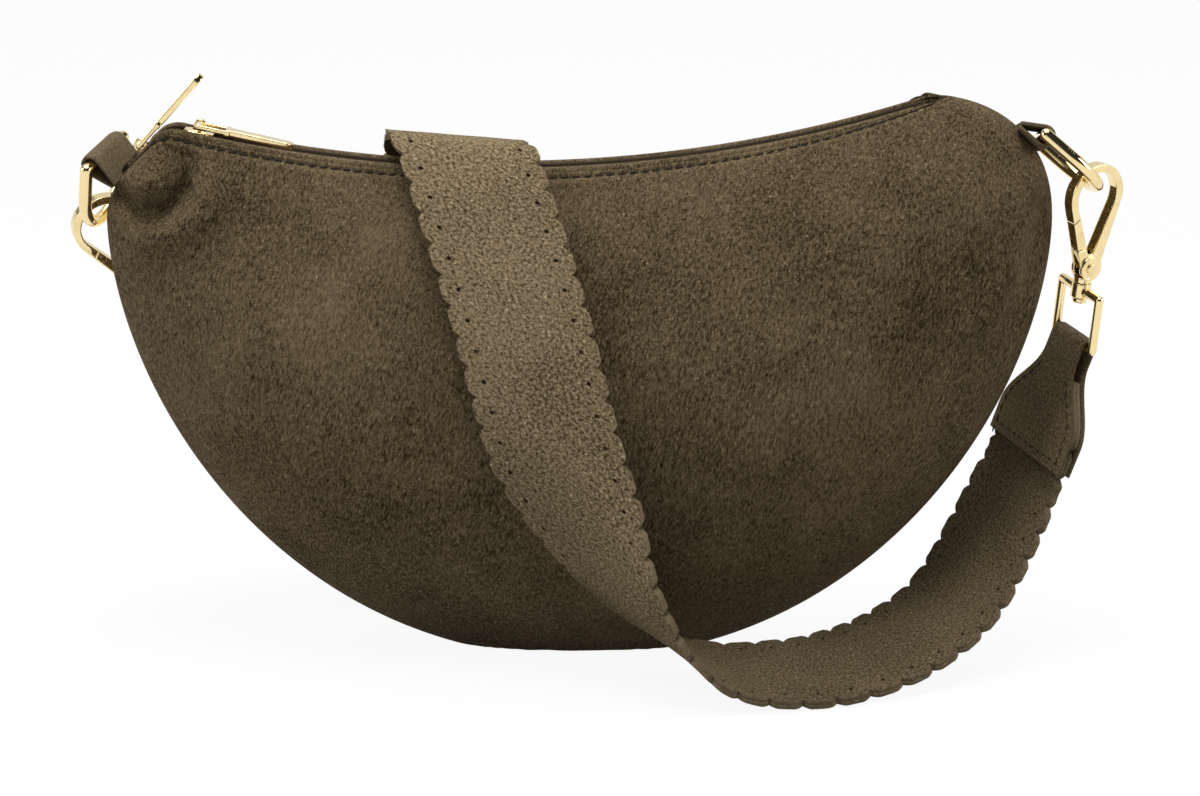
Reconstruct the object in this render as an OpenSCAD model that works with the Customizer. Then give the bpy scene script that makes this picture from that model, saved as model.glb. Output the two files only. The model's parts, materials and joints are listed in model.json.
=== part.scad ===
// Half moon shoulder bag in suede, standing on its base, with a scalloped strap
// that is clipped on at both ends and lies over the closed zip.
// The origin is the centre of the flat base: +X along the bag, -Y its front, +Z up.

/* [Bag] */
// Greatest width of the bag, across the seam
bag_w = 311; // [300:1:322]
// Height of the widest place above the base
widest_z = 145; // [141:1:149]
// Reach of the seam curve below the widest place, before the table presses it flat
seam_drop = 150.5; // [149.5:0.5:152]
// Greatest depth of one half of the bag, from the seam plane to its face
half_depth = 37.5; // [35:0.5:38.5]
// Width of the rounded right shoulder
right_shoulder_w = 45.3; // [43:0.5:48]
// Width of the drooping left shoulder
left_shoulder_w = 35.3; // [33:0.5:37]
// Rise of the right shoulder above the end of the zip
shoulder_crown = 2; // [1:0.5:4]

/* [Suede and lining] */
// Thickness of the suede
suede_t = 1.4; // [1.2:0.1:1.6]
// Thickness of the lining cloth
lining_t = 0.5; // [0.4:0.1:0.8]
// Width of the turned-in seam edge
seam_turn = 5; // [4:0.5:5.5]
// Depth of the folded rim beside the zip
rim_fold = 10; // [8:0.5:12]
// Space between a soft layer and what it lies against
lay_gap = 0.3; // [0.2:0.05:0.4]

/* [Zip] */
// Radius of the curve that the closed zip follows
zip_r = 450; // [440:1:465]
// Place along the bag of the zip's lowest point
zip_low_x = -24; // [-27:1:-21]
// Height of the rims at the zip's lowest point
zip_low_z = 164; // [162:0.5:165]
// Distance between the two rims
rim_gap = 10; // [9.6:0.1:10.4]
// Distance from the widest place to the zip's right end, along the bag
zip_right_inset = 43.5; // [42:0.5:46]
// Distance from the widest place to where the zip turns down at the left
zip_left_inset = 25.7; // [24.5:0.1:27]
// Radius of the turn at the zip's left end
zip_turn_r = 9; // [8.5:0.5:10]
// Slope of the zip's last stretch at the left, in degrees
zip_end_slope = 48; // [44:1:52]
// Length of that last straight stretch
zip_end_len = 12; // [11.5:0.5:13]
// Depth of the chain's middle below the rims
chain_depth = 2.6; // [2.5:0.1:2.9]
// Thickness of the zip tape
tape_t = 0.5; // [0.3:0.1:0.6]
// Distance between the teeth of one row
tooth_pitch = 2.6; // [2.5:0.1:3]
// Length of a tooth along the chain
tooth_l = 1.05; // [0.9:0.05:1.1]
// Height of a tooth
tooth_h = 1.6; // [1.4:0.1:1.7]

/* [Sliders and pullers] */
// Length of a slider
slider_l = 9.6; // [9:0.2:10]
// Width of a slider at its nose
slider_w = 7.8; // [7.4:0.1:8]
// Thickness of a slider's plates
plate_t = 1.2; // [1:0.1:1.3]
// Space between the teeth and the slider's plates
tooth_gap = 0.3; // [0.2:0.05:0.35]
// Outer radius of the slider's bail
bail_r = 2.2; // [2.1:0.1:2.4]
// Radius of the hole in the bail
bail_hole_r = 1.2; // [1.1:0.1:1.3]
// Width of the bail
bail_w = 2.4; // [2:0.1:2.8]
// Radius of the puller's pin
pin_r = 0.7; // [0.6:0.05:0.8]
// Width of the puller's eye
eye_w = 7.8; // [7.4:0.1:8.2]
// Length of the puller's eye
eye_l = 10; // [9:0.5:11]
// Width of the puller's bar
bar_w = 5.6; // [5:0.1:6.2]
// Thickness of the puller's bar
bar_t = 2; // [1.6:0.1:2]
// Length of a puller from its pin to its tip
puller_l = 31; // [29:0.5:33]

/* [Rings and tabs] */
// Radius of the ring wire
ring_wire_r = 2.1; // [1.9:0.05:2.2]
// Width inside a ring
ring_in_w = 22; // [21:0.5:24]
// Distance from a ring's straight bar to the middle of its arc
ring_drop = 24; // [23:0.5:25]
// Width of the suede tab that holds a ring
tab_w = 20; // [18:0.5:21]
// Length of the right tab from its foot to its ring's bar
right_tab_l = 4.9; // [4.8:0.1:5.6]
// Length of the left tab from its foot to its ring's bar
left_tab_l = 6.7; // [6.4:0.1:7.6]

/* [Hooks and swivel loops] */
// Outer radius of the hook's eye
hook_r = 11; // [10.8:0.1:11.4]
// Width of the hook's limbs
limb_w = 2.6; // [2.4:0.1:2.8]
// Thickness of the hook's limbs
limb_t = 3.8; // [3.4:0.1:4]
// Height of the eye's centre above the swivel
eye_z = 30; // [29:0.5:31]
// Radius of the boss that holds the gate
boss_r = 4.2; // [4:0.1:4.4]
// Thickness of the boss
boss_t = 5.4; // [5.2:0.1:6]
// Radius of the gate's rivet
rivet_r = 1.1; // [0.9:0.05:1.2]
// Width of the slot in the boss
slot_w = 2.8; // [2.6:0.1:2.9]
// Thickness of the gate's tongue
tongue_t = 1.4; // [1.2:0.1:1.5]
// Radius of the wire of the gate's spring
spring_wire_r = 0.2; // [0.15:0.05:0.2]
// Radius of the swivel post
post_r = 1.5; // [1.4:0.05:1.6]
// Height of the swivel collar
collar_h = 4.95; // [4.6:0.05:5.2]
// Running clearance of pins and posts, on the radius
run_gap = 0.06; // [0.03:0.01:0.1]
// Radius of the swivel loop's wire
loop_wire_r = 1.5; // [1.4:0.1:1.6]
// Width inside the swivel loop
loop_in_w = 20; // [19.6:0.2:21]
// Distance from the hook's foot to the loop's lower bar
loop_drop = 20.5; // [20:0.5:21]

/* [Strap] */
// Width of the strap, from tip to tip
strap_w = 45; // [43:0.5:46]
// Thickness of one of the strap's two layers
strap_layer_t = 1.2; // [1:0.1:1.3]
// Length of one scallop
scallop_l = 10.3; // [9.5:0.1:11]
// Depth of the notch between scallops
scallop_d = 2.2; // [1.8:0.1:2.5]
// Length of the suede end pieces
end_piece_l = 41; // [39:0.5:43]
// Width of an end piece where it passes round the loop
neck_w = 19; // [18:0.5:19.4]

/* [Hidden] */

overrun = 1;
$fn = 48;

// Numbers of rings and points of the soft sheets
panel_columns = 44;
panel_rows = 12;
lining_columns = 30;
lining_rows = 7;
corner_steps = 8;
seam_steps = 60;
steps_per_span = 6;
steps_per_scallop = 4;
fold_steps = 10;
leg_steps = 4;

// Small sizes of the soft pieces
rim_y = rim_gap / 2 + 2 * suede_t;
lining_inset = seam_turn + 4 * lay_gap;
lining_d = suede_t + 5 * lay_gap;
fullest_share = 0.42;
panel_bulge = half_depth - rim_y * rise(fullest_share);
swell_power = 0.6;
row_power = 1.6;
seam_share_limit = 1 / 3;
left_end_power = 2;
right_end_power = 3;
end_power = 1.2;
end_lip = 3 * suede_t;
strap_t = 2 * strap_layer_t;
lining_from_share = 0.06;
lining_to_share = 0.94;

// Exponents of the seam curve below its widest place, and of its shoulders
seam_x_power = 2.1;
seam_z_power = 1.75;
shoulder_power = 2.3;
left_seam_share = 0.807;
right_seam_share = 0.243;

// Small sizes of the zip
arc_fn = 180;
turn_fn = 90;
tape_edge = 0.9;
tape_y = rim_gap / 2 - lay_gap;
tape_top_d = 0.8;
tape_low_d = 8;
tooth_reach = 0.75;
tooth_leg = 1.45;
tooth_bevel = 0.3;
teeth_spread = 1.55;
stop_l = 1.2;
stop_w = 4.4;
plate_corner = 1.6;
tail_w = 7.2;
flange_w = 0.5;
flange_gap = 0.25;
wedge_w = 1.2;
wedge_l = 3;
wedge_from = 1.2;
slider_top_d = chain_depth - tooth_h / 2 - tooth_gap - plate_t;
slider_low_d = chain_depth + tooth_h / 2 + tooth_gap + plate_t;
pivot_rise = 1.8;
pivot_d = slider_top_d - pivot_rise;
eye_wire = 1.4;

// Small sizes of the hooks
arc_steps = 20;
boss_step = 0.5;
boss_x = 1;
boss_z = 5;
crotch_z = 11.5;
crotch_r = 1.6;
crotch_x = 0.3;
split_z = 28.4;
split_slope = 0.8;
gate_inner_x = -2;
gate_low_z = 12.3;
gate_low_slope = 0.15;
tongue_end_z = 12;
gate_clear = 0.25;
tongue_r = 2;
rivet_head_r = 1.9;
rivet_head_t = 0.5;
spring_r = 1.6;
spring_turn = 300;
foot_r = 3;
collar_r = 3.2;
collar_gap = 0.25;
cap_r = 2.4;
cap_t = 1.5;
seat_z = 33.1;
seat_x = 0.6;
strap_start = 12;
flare_from = 6;
flare_to = 31;
cover_margin = 0.6;
least_upright = 0.2;

// Directions of the hardware, as vectors without a unit
right_bar_dir = [0, 0.97, -0.24];
right_ring_dir = [0.755, -0.16, -0.636];
right_hook_up = [0.08, -0.129, 0.99];
right_hook_face = [-0.57, 0.82, 0.15];
right_loop_dir = [0.4, -0.9, -0.12];
right_strap_dir = [-0.33, 0, -0.94];
left_bar_dir = [0.34, 0.9, 0.27];
left_ring_dir = [-0.1, 0.36, -0.93];
left_hook_up = [-0.35, -0.42, 0.84];
left_hook_face = [-0.35, 0.84, 0.25];
left_loop_dir = [0.2, 0.95, 0.4];
left_strap_dir = [0.5, 0.2, -0.84];

// The tabs leave the bag at the right shoulder and at the zip's left end
right_root_angle = 45.5;
right_tab_gap = 3.5;
left_tab_gap = 3;
right_tab_way = [0.9, 0, -0.43];
left_tab_way = [-0.72, 0.15, 0.66];

// Route of the strap between its end pieces, from right to left: the middle as shares of the
// bag's half width, half depth and rim height, and the direction across the strap
strap_route_shares = [
    [0.810, -0.48, 0.139], [0.675, -0.907, 0.064], [0.527, -1.253, 0.037],
    [0.399, -1.413, 0.037], [0.296, -1.44, 0.05], [0.206, -1.4, 0.087], [0.125, -1.42, 0.16],
    [0.054, -1.4, 0.257], [-0.006, -1.35, 0.378], [-0.055, -1.25, 0.5], [-0.122, -0.95, 0.732],
    [-0.193, -0.56, 0.933], [-0.235, -0.235, 1.033], [-0.257, 0, 1.048], [-0.272, 0.235, 1.035],
    [-0.285, 0.56, 0.939], [-0.293, 0.987, 0.744], [-0.283, 1.28, 0.573], [-0.277, 1.467, 0.415],
    [-0.296, 1.6, 0.28], [-0.354, 1.653, 0.177], [-0.444, 1.6, 0.125], [-0.54, 1.507, 0.14],
    [-0.63, 1.387, 0.201]
];
strap_across = [
    [0.5, -0.86, -0.08], [0.42, -0.89, -0.15], [0.2, -0.96, -0.19],
    [0.08, -0.98, -0.15], [0.1, -0.99, -0.05], [0.25, -0.95, 0.08], [0.48, -0.87, 0.08],
    [0.68, -0.73, 0.05], [0.88, -0.45, 0.02], [0.97, -0.2, 0], [1, 0, 0],
    [1, 0, -0.05], [1, 0, -0.08], [1, 0, -0.08], [1, 0, -0.08],
    [1, 0, -0.04], [0.98, -0.18, 0], [0.9, -0.42, 0], [0.72, -0.69, 0],
    [0.45, -0.89, 0.05], [0.15, -0.98, 0.1], [-0.05, -0.99, 0.1], [-0.1, -0.97, -0.15],
    [-0.12, -0.94, -0.3]
];

// General functions
function unit(v) = v / norm(v);
function blend(a, b, t) = a + (b - a) * t;
function upright(v, axis) = unit(v - (v * axis) * axis);
function power(x, p) = sign(x) * pow(abs(x), p);
function along(p) = [
    for (i = 0, s = 0; i < len(p); s = s + (i < len(p) - 1 ? norm(p[i + 1] - p[i]) : 0), i = i + 1) s
];
function column(p, s, k) = [for (i = [0 : len(p) - 1]) [s[i], p[i][k]]];

// Places in the picture plane of the bag, as [x, z]
half_w = bag_w / 2;
bag_scale = [half_w, half_depth, zip_low_z];
function placed(share) = [for (k = [0 : 2]) share[k] * bag_scale[k]];

// The zip's path: a wide arc, a turn and a short straight stretch at the left
zip_centre = [zip_low_x, zip_low_z + zip_r];
arc_right = asin((half_w - zip_right_inset - zip_low_x) / zip_r);
arc_left = asin((zip_left_inset - half_w - zip_low_x) / zip_r);
turn_angle = zip_end_slope - arc_left;
function tangent(tilt) = [cos(tilt), sin(tilt)];
function normal(tilt) = [-sin(tilt), cos(tilt)];
turn_centre = zip_centre - (zip_r + zip_turn_r) * normal(arc_left);
function turn_len(ref) = (zip_turn_r - ref) * turn_angle * PI / 180;
function arc_len(ref) = (zip_r + ref) * (arc_right - arc_left) * PI / 180;
function path_len(ref) = zip_end_len + turn_len(ref) + arc_len(ref);
function zip_tilt(s, ref) =
    s < zip_end_len ? zip_end_slope
    : s < zip_end_len + turn_len(ref)
        ? zip_end_slope - (s - zip_end_len) / (zip_turn_r - ref) * 180 / PI
    : arc_left + (s - zip_end_len - turn_len(ref)) / (zip_r + ref) * 180 / PI;
function zip_point(s, ref, d) = let (tilt = zip_tilt(s, ref))
    s < zip_end_len
        ? turn_centre + (zip_turn_r - d) * normal(zip_end_slope)
            - (zip_end_len - s) * tangent(zip_end_slope)
    : s < zip_end_len + turn_len(ref) ? turn_centre + (zip_turn_r - d) * normal(tilt)
    : zip_centre - (zip_r + d) * normal(tilt);
zip_left_end = zip_point(0, 0, 0);
zip_right_end = zip_point(path_len(0), 0, 0);

// The seam: left shoulder, the half moon, right shoulder
right_shoulder_h = zip_right_end[1] + shoulder_crown - widest_z;
left_shoulder_h = (zip_left_end[1] - end_lip - widest_z)
    / pow(1 - pow(left_seam_share, shoulder_power), 1 / shoulder_power);
function arch(cx, a, b, phi, px, pz) = [
    cx + a * power(cos(phi), 2 / px),
    widest_z + b * power(sin(phi), 2 / pz)
];
left_phi = acos(-pow(left_seam_share, shoulder_power / 2));
right_phi = acos(pow(right_seam_share, shoulder_power / 2));
seam_points = concat(
    [for (i = [0 : corner_steps - 1])
        arch(left_shoulder_w - half_w, left_shoulder_w, left_shoulder_h,
            blend(left_phi, 180, i / corner_steps), shoulder_power, shoulder_power)],
    [for (i = [0 : seam_steps - 1])
        arch(0, half_w, seam_drop, blend(180, 360, i / seam_steps), seam_x_power, seam_z_power)],
    [for (i = [0 : corner_steps])
        arch(half_w - right_shoulder_w, right_shoulder_w, right_shoulder_h,
            blend(0, right_phi, i / corner_steps), shoulder_power, shoulder_power)]
);
seam_s = along(seam_points);
seam_x_table = column(seam_points, seam_s, 0);
seam_z_table = column(seam_points, seam_s, 1);
seam_total = seam_s[len(seam_s) - 1];
function seam(u) = [lookup(u * seam_total, seam_x_table), lookup(u * seam_total, seam_z_table)];

// Depth of a soft half at a share v of the way from the seam to the rim
function rise(v) = sqrt(max(0, 1 - pow(1 - v, 2)));
function swell(v) = v < fullest_share ? pow(sin(90 * v / fullest_share), swell_power)
    : cos(90 * (v - fullest_share) / (1 - fullest_share));
function fullness(u) = u < 0.5 ? pow(1 - pow(1 - 2 * u, left_end_power), end_power)
    : pow(1 - pow(2 * u - 1, right_end_power), end_power);
function reach(u) = norm(zip_point(u * path_len(0), 0, 0) - seam(u));
function panel_point(u, v) =
    let (p = blend(seam(u), zip_point(u * path_len(0), 0, 0), v))
    [p[0], -(rim_y * rise(v) + panel_bulge * fullness(u) * swell(v)), max(p[1], 0)];

// The same point moved into the bag, square to the panel
probe = 0.004;
function sunk_point(u, v, t) =
    let (
        u0 = max(0, u - probe), u1 = min(1, u + probe),
        v0 = max(0, v - probe), v1 = min(1, v + probe),
        n = unit(cross(panel_point(u1, v) - panel_point(u0, v), panel_point(u, v1) - panel_point(u, v0))),
        p = panel_point(u, v) - n * t
    )
    [p[0], min(p[1], 0), max(p[2], t)];

// A sheet between two grids of points of the same size
module thick_sheet(outer, inner) {
    rows = len(outer);
    cols = len(outer[0]);
    half = rows * cols;
    points = [for (grid = [outer, inner], row = grid, p = row) p];
    function at(k, i, j) = k * half + i * cols + j;
    faces = concat(
        [for (i = [0 : rows - 2], j = [0 : cols - 2], t = [0 : 1]) t == 0
            ? [at(0, i, j), at(0, i, j + 1), at(0, i + 1, j + 1)]
            : [at(0, i, j), at(0, i + 1, j + 1), at(0, i + 1, j)]],
        [for (i = [0 : rows - 2], j = [0 : cols - 2], t = [0 : 1]) t == 0
            ? [at(1, i, j), at(1, i + 1, j + 1), at(1, i, j + 1)]
            : [at(1, i, j), at(1, i + 1, j), at(1, i + 1, j + 1)]],
        [for (i = [0 : rows - 2], e = [0, cols - 1], t = [0 : 1])
            let (a = at(0, i, e), b = at(0, i + 1, e), c = at(1, i + 1, e), d = at(1, i, e))
            e == 0 ? (t == 0 ? [a, b, c] : [a, c, d]) : (t == 0 ? [a, c, b] : [a, d, c])],
        [for (j = [0 : cols - 2], e = [0, rows - 1], t = [0 : 1])
            let (a = at(0, e, j), b = at(0, e, j + 1), c = at(1, e, j + 1), d = at(1, e, j))
            e == 0 ? (t == 0 ? [a, c, b] : [a, d, c]) : (t == 0 ? [a, b, c] : [a, c, d])]
    );
    polyhedron(points, faces);
}

// The suede panels, their seam edges turned in and their rims folded
function row_share(j, rows) = pow(j / rows, row_power);
function panel_t(u, v) = (1 - v) * reach(u) < rim_fold ? 2 * suede_t : suede_t;
function seam_share(u, inset) = min(inset / reach(u), seam_share_limit);
function turned_point(u, j) =
    let (p = panel_point(u, seam_share(u, seam_turn)))
    [p[0], j == 0 ? 0 : -suede_t, max(p[2], suede_t)];
module panel() {
    us = [for (i = [0 : panel_columns]) i / panel_columns];
    vs = [for (j = [0 : panel_rows]) row_share(j, panel_rows)];
    outer = [for (u = us) [for (v = vs) panel_point(u, v)]];
    inner = [for (u = us) [for (j = [0 : panel_rows])
        j < 2 ? turned_point(u, j) : sunk_point(u, vs[j], panel_t(u, vs[j]))]];
    thick_sheet(outer, inner);
}
module front_panel() {
    color([0.35, 0.29, 0.22]) panel();
}
module back_panel() {
    color([0.33, 0.27, 0.2]) mirror([0, 1, 0]) panel();
}

// The cloth lining, sewn along its own seam and to the zip tapes
function lining_point(u, w, depth) =
    let (
        from = seam_share(u, lining_inset),
        to = 1 - (rim_fold + lay_gap) / reach(u),
        p = sunk_point(u, blend(from, to, w), depth)
    )
    [p[0], w == 0 ? 0 : p[1], p[2]];
module lining() {
    us = [for (i = [0 : lining_columns]) blend(lining_from_share, lining_to_share, i / lining_columns)];
    vs = [for (j = [0 : lining_rows]) row_share(j, lining_rows)];
    outer = [for (u = us) [for (w = vs) lining_point(u, w, lining_d)]];
    inner = [for (u = us) [for (w = vs) lining_point(u, w, lining_d + lining_t)
        - [0, w == 0 ? lining_t : 0, 0]]];
    thick_sheet(outer, inner);
}
module lining_front() {
    color([0.72, 0.66, 0.56]) lining();
}
module lining_back() {
    color([0.7, 0.64, 0.54]) mirror([0, 1, 0]) lining();
}

// A profile of [depth, y] points carried along the whole zip
module zip_sweep(profile) {
    translate([zip_centre[0], 0, zip_centre[1]])
        rotate([90, 0, 0])
            rotate([0, 0, arc_left - 90])
                rotate_extrude(angle = arc_right - arc_left, $fn = arc_fn)
                    polygon([for (p = profile) [zip_r + p[0], -p[1]]]);
    translate([turn_centre[0], 0, turn_centre[1]])
        rotate([90, 0, 0])
            rotate([0, 0, 90 + arc_left])
                rotate_extrude(angle = turn_angle, $fn = turn_fn)
                    polygon([for (p = profile) [zip_turn_r - p[0], -p[1]]]);
    zip_place(0, 0)
        linear_extrude(zip_end_len)
            polygon(profile);
}
// Children placed on the zip: local X goes down from the rims, local Z along the zip
module zip_place(s, ref) {
    p = zip_point(s, ref, 0);
    translate([p[0], 0, p[1]])
        rotate([0, 90 - zip_tilt(s, ref), 0])
            children();
}

// The rest places of the two sliders, measured along the chain from the left end
parked_s = zip_end_len / 2;
running_s = zip_end_len + turn_len(chain_depth) + slider_l / 2 + 3 * lay_gap;
// One slider's wedge points right and the other's left, so they meet nose to nose
parked_wedge_s = parked_s + wedge_from + wedge_l / 2;
running_wedge_s = running_s - wedge_from - wedge_l / 2;

module tape(side) {
    notch_w = 2 * (tape_edge + teeth_spread + lay_gap);
    difference() {
        zip_sweep([for (p = [
            [chain_depth - tape_t / 2, tape_edge],
            [chain_depth - tape_t / 2, tape_y - tape_t],
            [tape_top_d, tape_y - tape_t], [tape_top_d, tape_y],
            [tape_low_d, tape_y], [tape_low_d, tape_y - tape_t],
            [chain_depth + tape_t / 2, tape_y - tape_t],
            [chain_depth + tape_t / 2, tape_edge]
        ]) [p[0], side * p[1]]]);
        for (s = [parked_wedge_s, running_wedge_s])
            zip_place(s, chain_depth)
                translate([chain_depth, 0, 0])
                    cube([tooth_h, notch_w, wedge_l + 2 * tooth_pitch], center = true);
    }
}
module zip_tape_front() {
    color([0.36, 0.3, 0.22]) tape(-1);
}
module zip_tape_back() {
    color([0.36, 0.3, 0.22]) tape(1);
}

// A tooth: a head that crosses the middle and two legs that grip the tape's edge
module tooth(side, spread) {
    h = tooth_h / 2;
    g = tape_t / 2;
    translate([chain_depth, side * spread, -tooth_l / 2])
        linear_extrude(tooth_l)
            polygon([for (p = [
                [-h, tooth_leg], [-h, tooth_bevel - tooth_reach], [tooth_bevel - h, -tooth_reach],
                [h - tooth_bevel, -tooth_reach], [h, tooth_bevel - tooth_reach], [h, tooth_leg],
                [g, tooth_leg], [g, tape_edge], [-g, tape_edge], [-g, tooth_leg]
            ]) [p[0], side * p[1]]]);
}
function near_wedge(s) =
    abs(s - parked_wedge_s) < wedge_l / 2 + tooth_l || abs(s - running_wedge_s) < wedge_l / 2 + tooth_l;
teeth_from = stop_l + tooth_pitch / 2;
teeth_count = floor((path_len(chain_depth) - 2 * teeth_from - tooth_pitch / 2) / tooth_pitch);
module teeth(side, shift) {
    for (i = [0 : teeth_count]) {
        s = teeth_from + shift + i * tooth_pitch;
        zip_place(s, chain_depth)
            tooth(side, near_wedge(s) ? teeth_spread : 0);
    }
}
module zip_teeth_front() {
    color([0.42, 0.33, 0.2]) teeth(-1, 0);
}
module zip_teeth_back() {
    color([0.42, 0.33, 0.2]) teeth(1, tooth_pitch / 2);
}
module zip_end_stops() {
    color([0.8, 0.66, 0.38])
        for (s = [stop_l / 2, path_len(chain_depth) - stop_l / 2])
            zip_place(s, chain_depth)
                difference() {
                    translate([chain_depth, 0, 0])
                        cube([tooth_h, stop_w, stop_l], center = true);
                    for (side = [-1, 1])
                        translate([chain_depth, side * (tape_edge + stop_w / 2), 0])
                            cube([tape_t, stop_w, stop_l + overrun], center = true);
                }
}

// A slider: two plates with flanges, a wedge in its nose and a bail on top; nose at +Z
module slider_plate(d) {
    nose = slider_w / 2;
    tail = tail_w / 2;
    l = slider_l / 2;
    translate([d, 0, 0])
        rotate([0, 90, 0])
            linear_extrude(plate_t)
                polygon([
                    [-l, nose - plate_corner], [plate_corner - l, nose],
                    [l - plate_corner, tail], [l, tail - plate_corner],
                    [l, plate_corner - tail], [l - plate_corner, -tail],
                    [plate_corner - l, -nose], [-l, plate_corner - nose]
                ]);
}
module slider() {
    flange_out = tail_w / 2;
    flange_y = flange_out - flange_w;
    flange_l = slider_l - 2 * plate_corner;
    tape_top = chain_depth - tape_t / 2 - flange_gap;
    tape_low = chain_depth + tape_t / 2 + flange_gap;
    slider_plate(slider_top_d);
    slider_plate(slider_low_d - plate_t);
    for (side = [0, 1])
        mirror([0, side, 0]) {
            translate([slider_top_d + plate_t / 2, flange_y, -flange_l / 2])
                cube([tape_top - slider_top_d - plate_t / 2, flange_w, flange_l]);
            translate([tape_low, flange_y, -flange_l / 2])
                cube([slider_low_d - plate_t / 2 - tape_low, flange_w, flange_l]);
        }
    translate([slider_top_d + plate_t / 2, 0, wedge_from])
        rotate([0, 90, 0])
            linear_extrude(slider_low_d - slider_top_d - plate_t)
                polygon([[0, 0], [-wedge_l / 2, wedge_w / 2], [-wedge_l, 0], [-wedge_l / 2, -wedge_w / 2]]);
    difference() {
        union() {
            translate([pivot_d, 0, 0])
                rotate([90, 0, 0])
                    cylinder(h = bail_w, r = bail_r, center = true);
            translate([pivot_d, -bail_w / 2, -bail_r])
                cube([slider_top_d + plate_t / 2 - pivot_d, bail_w, 2 * bail_r]);
        }
        translate([pivot_d, 0, 0])
            rotate([90, 0, 0])
                cylinder(h = bail_w + overrun, r = bail_hole_r, center = true);
    }
}
module parked_slider() {
    color([0.83, 0.69, 0.4])
        zip_place(parked_s, chain_depth)
            slider();
}
module running_slider() {
    color([0.83, 0.69, 0.4])
        zip_place(running_s, chain_depth)
            mirror([0, 0, 1])
                slider();
}

// A puller: an eye whose end bar is the pin, and a flat bar with a round tip, along +Z
module puller() {
    arm_y = eye_w / 2 - eye_wire;
    bar_from = eye_l - eye_wire;
    rotate([90, 0, 0])
        cylinder(h = eye_w, r = pin_r, center = true);
    for (side = [0, 1])
        mirror([0, side, 0])
            translate([-pin_r, arm_y, 0])
                cube([2 * pin_r, eye_wire, bar_from]);
    translate([-bar_t / 2, -eye_w / 2, bar_from])
        cube([bar_t, eye_w, eye_wire]);
    translate([-bar_t / 2, -bar_w / 2, bar_from])
        cube([bar_t, bar_w, puller_l - bar_from - bar_w / 2]);
    translate([0, 0, puller_l - bar_w / 2])
        rotate([0, 90, 0])
            cylinder(h = bar_t, r = bar_w / 2, center = true);
}
module parked_puller() {
    color([0.85, 0.71, 0.42])
        zip_place(parked_s, chain_depth)
            translate([pivot_d, 0, 0])
                puller();
}
module running_puller() {
    color([0.85, 0.71, 0.42])
        zip_place(running_s, chain_depth)
            translate([pivot_d, 0, 0])
                puller();
}

// Children placed in a frame given by an origin and three axes
module in_frame(o, ax, ay, az) {
    multmatrix([
        [ax[0], ay[0], az[0], o[0]],
        [ax[1], ay[1], az[1], o[1]],
        [ax[2], ay[2], az[2], o[2]],
        [0, 0, 0, 1]
    ])
        children();
}

// The chain of parts at one end: ring, hook, swivel loop and strap end
function bar_place(root, way, l) = [root[0], 0, root[1]] + unit(way) * l;
function chain(ring_at, bar_dir, ring_dir, hook_up, hook_face, loop_dir, strap_dir) =
    let (
        bar = unit(bar_dir),
        hang = upright(unit(ring_dir), bar),
        up = unit(hook_up),
        face = upright(hook_face, up),
        side = cross(face, up),
        foot = ring_at + ring_drop * hang - seat_z * up - seat_x * side,
        across = upright(loop_dir, up),
        down = upright(strap_dir, across)
    )
    [ring_at, bar, hang, foot, side, face, up, across, foot - loop_drop * up, down];
right_root = arch(half_w - right_shoulder_w, right_shoulder_w, right_shoulder_h,
    right_root_angle, shoulder_power, shoulder_power);
right = chain(bar_place(right_root, right_tab_way, right_tab_l + right_tab_gap),
    right_bar_dir, right_ring_dir, right_hook_up, right_hook_face, right_loop_dir, right_strap_dir);
left = chain(bar_place(seam(0), left_tab_way, left_tab_l + left_tab_gap),
    left_bar_dir, left_ring_dir, left_hook_up, left_hook_face, left_loop_dir, left_strap_dir);

module d_ring(c) {
    half = ring_in_w / 2 + ring_wire_r;
    leg = ring_drop - half;
    in_frame(c[0], c[1], -c[2], cross(c[1], -c[2])) {
        rotate([0, 90, 0])
            cylinder(h = 2 * half, r = ring_wire_r, center = true);
        for (side = [-1, 1])
            translate([side * half, 0, 0]) {
                sphere(r = ring_wire_r);
                rotate([90, 0, 0])
                    cylinder(h = leg, r = ring_wire_r);
            }
        translate([0, -leg, 0])
            rotate([0, 0, 180])
                rotate_extrude(angle = 180)
                    translate([half, 0])
                        circle(r = ring_wire_r);
    }
}
module right_d_ring() {
    color([0.84, 0.71, 0.45]) d_ring(right);
}
module left_d_ring() {
    color([0.84, 0.71, 0.45]) d_ring(left);
}

// Middle line of a strip folded round a bar: [along, normal], from one end to the other
function hairpin(l, r, spread) =
    let (
        turn = 180 - atan(spread / l) - acos(r / norm([l, spread])),
        from = [l + r * cos(turn), r * sin(turn)],
        leg = [for (k = [0 : leg_steps - 1]) blend([0, spread], from, k / leg_steps)]
    )
    concat(
        [for (q = leg) [q[0], -q[1]]],
        [for (k = [0 : fold_steps]) let (a = blend(-turn, turn, k / fold_steps))
            [l + r * cos(a), r * sin(a)]],
        [for (k = [leg_steps - 1 : -1 : 0]) leg[k]]
    );
function line_normal(p, i) =
    let (d = unit(p[min(i + 1, len(p) - 1)] - p[max(i - 1, 0)]))
    [-d[1], d[0]];
// The folded strip as a sheet: origin and axes of its frame, and its half width at each point
module folded_strip(line, t, o, ax, across, an, halves) {
    function spot(q, w) = o + q[0] * ax + q[1] * an + w * across;
    function leaf(shift) = [for (i = [0 : len(line) - 1])
        let (q = line[i] + line_normal(line, i) * shift)
        [spot(q, -halves[i]), spot(q, halves[i])]];
    thick_sheet(leaf(t / 2), leaf(-t / 2));
}

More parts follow.
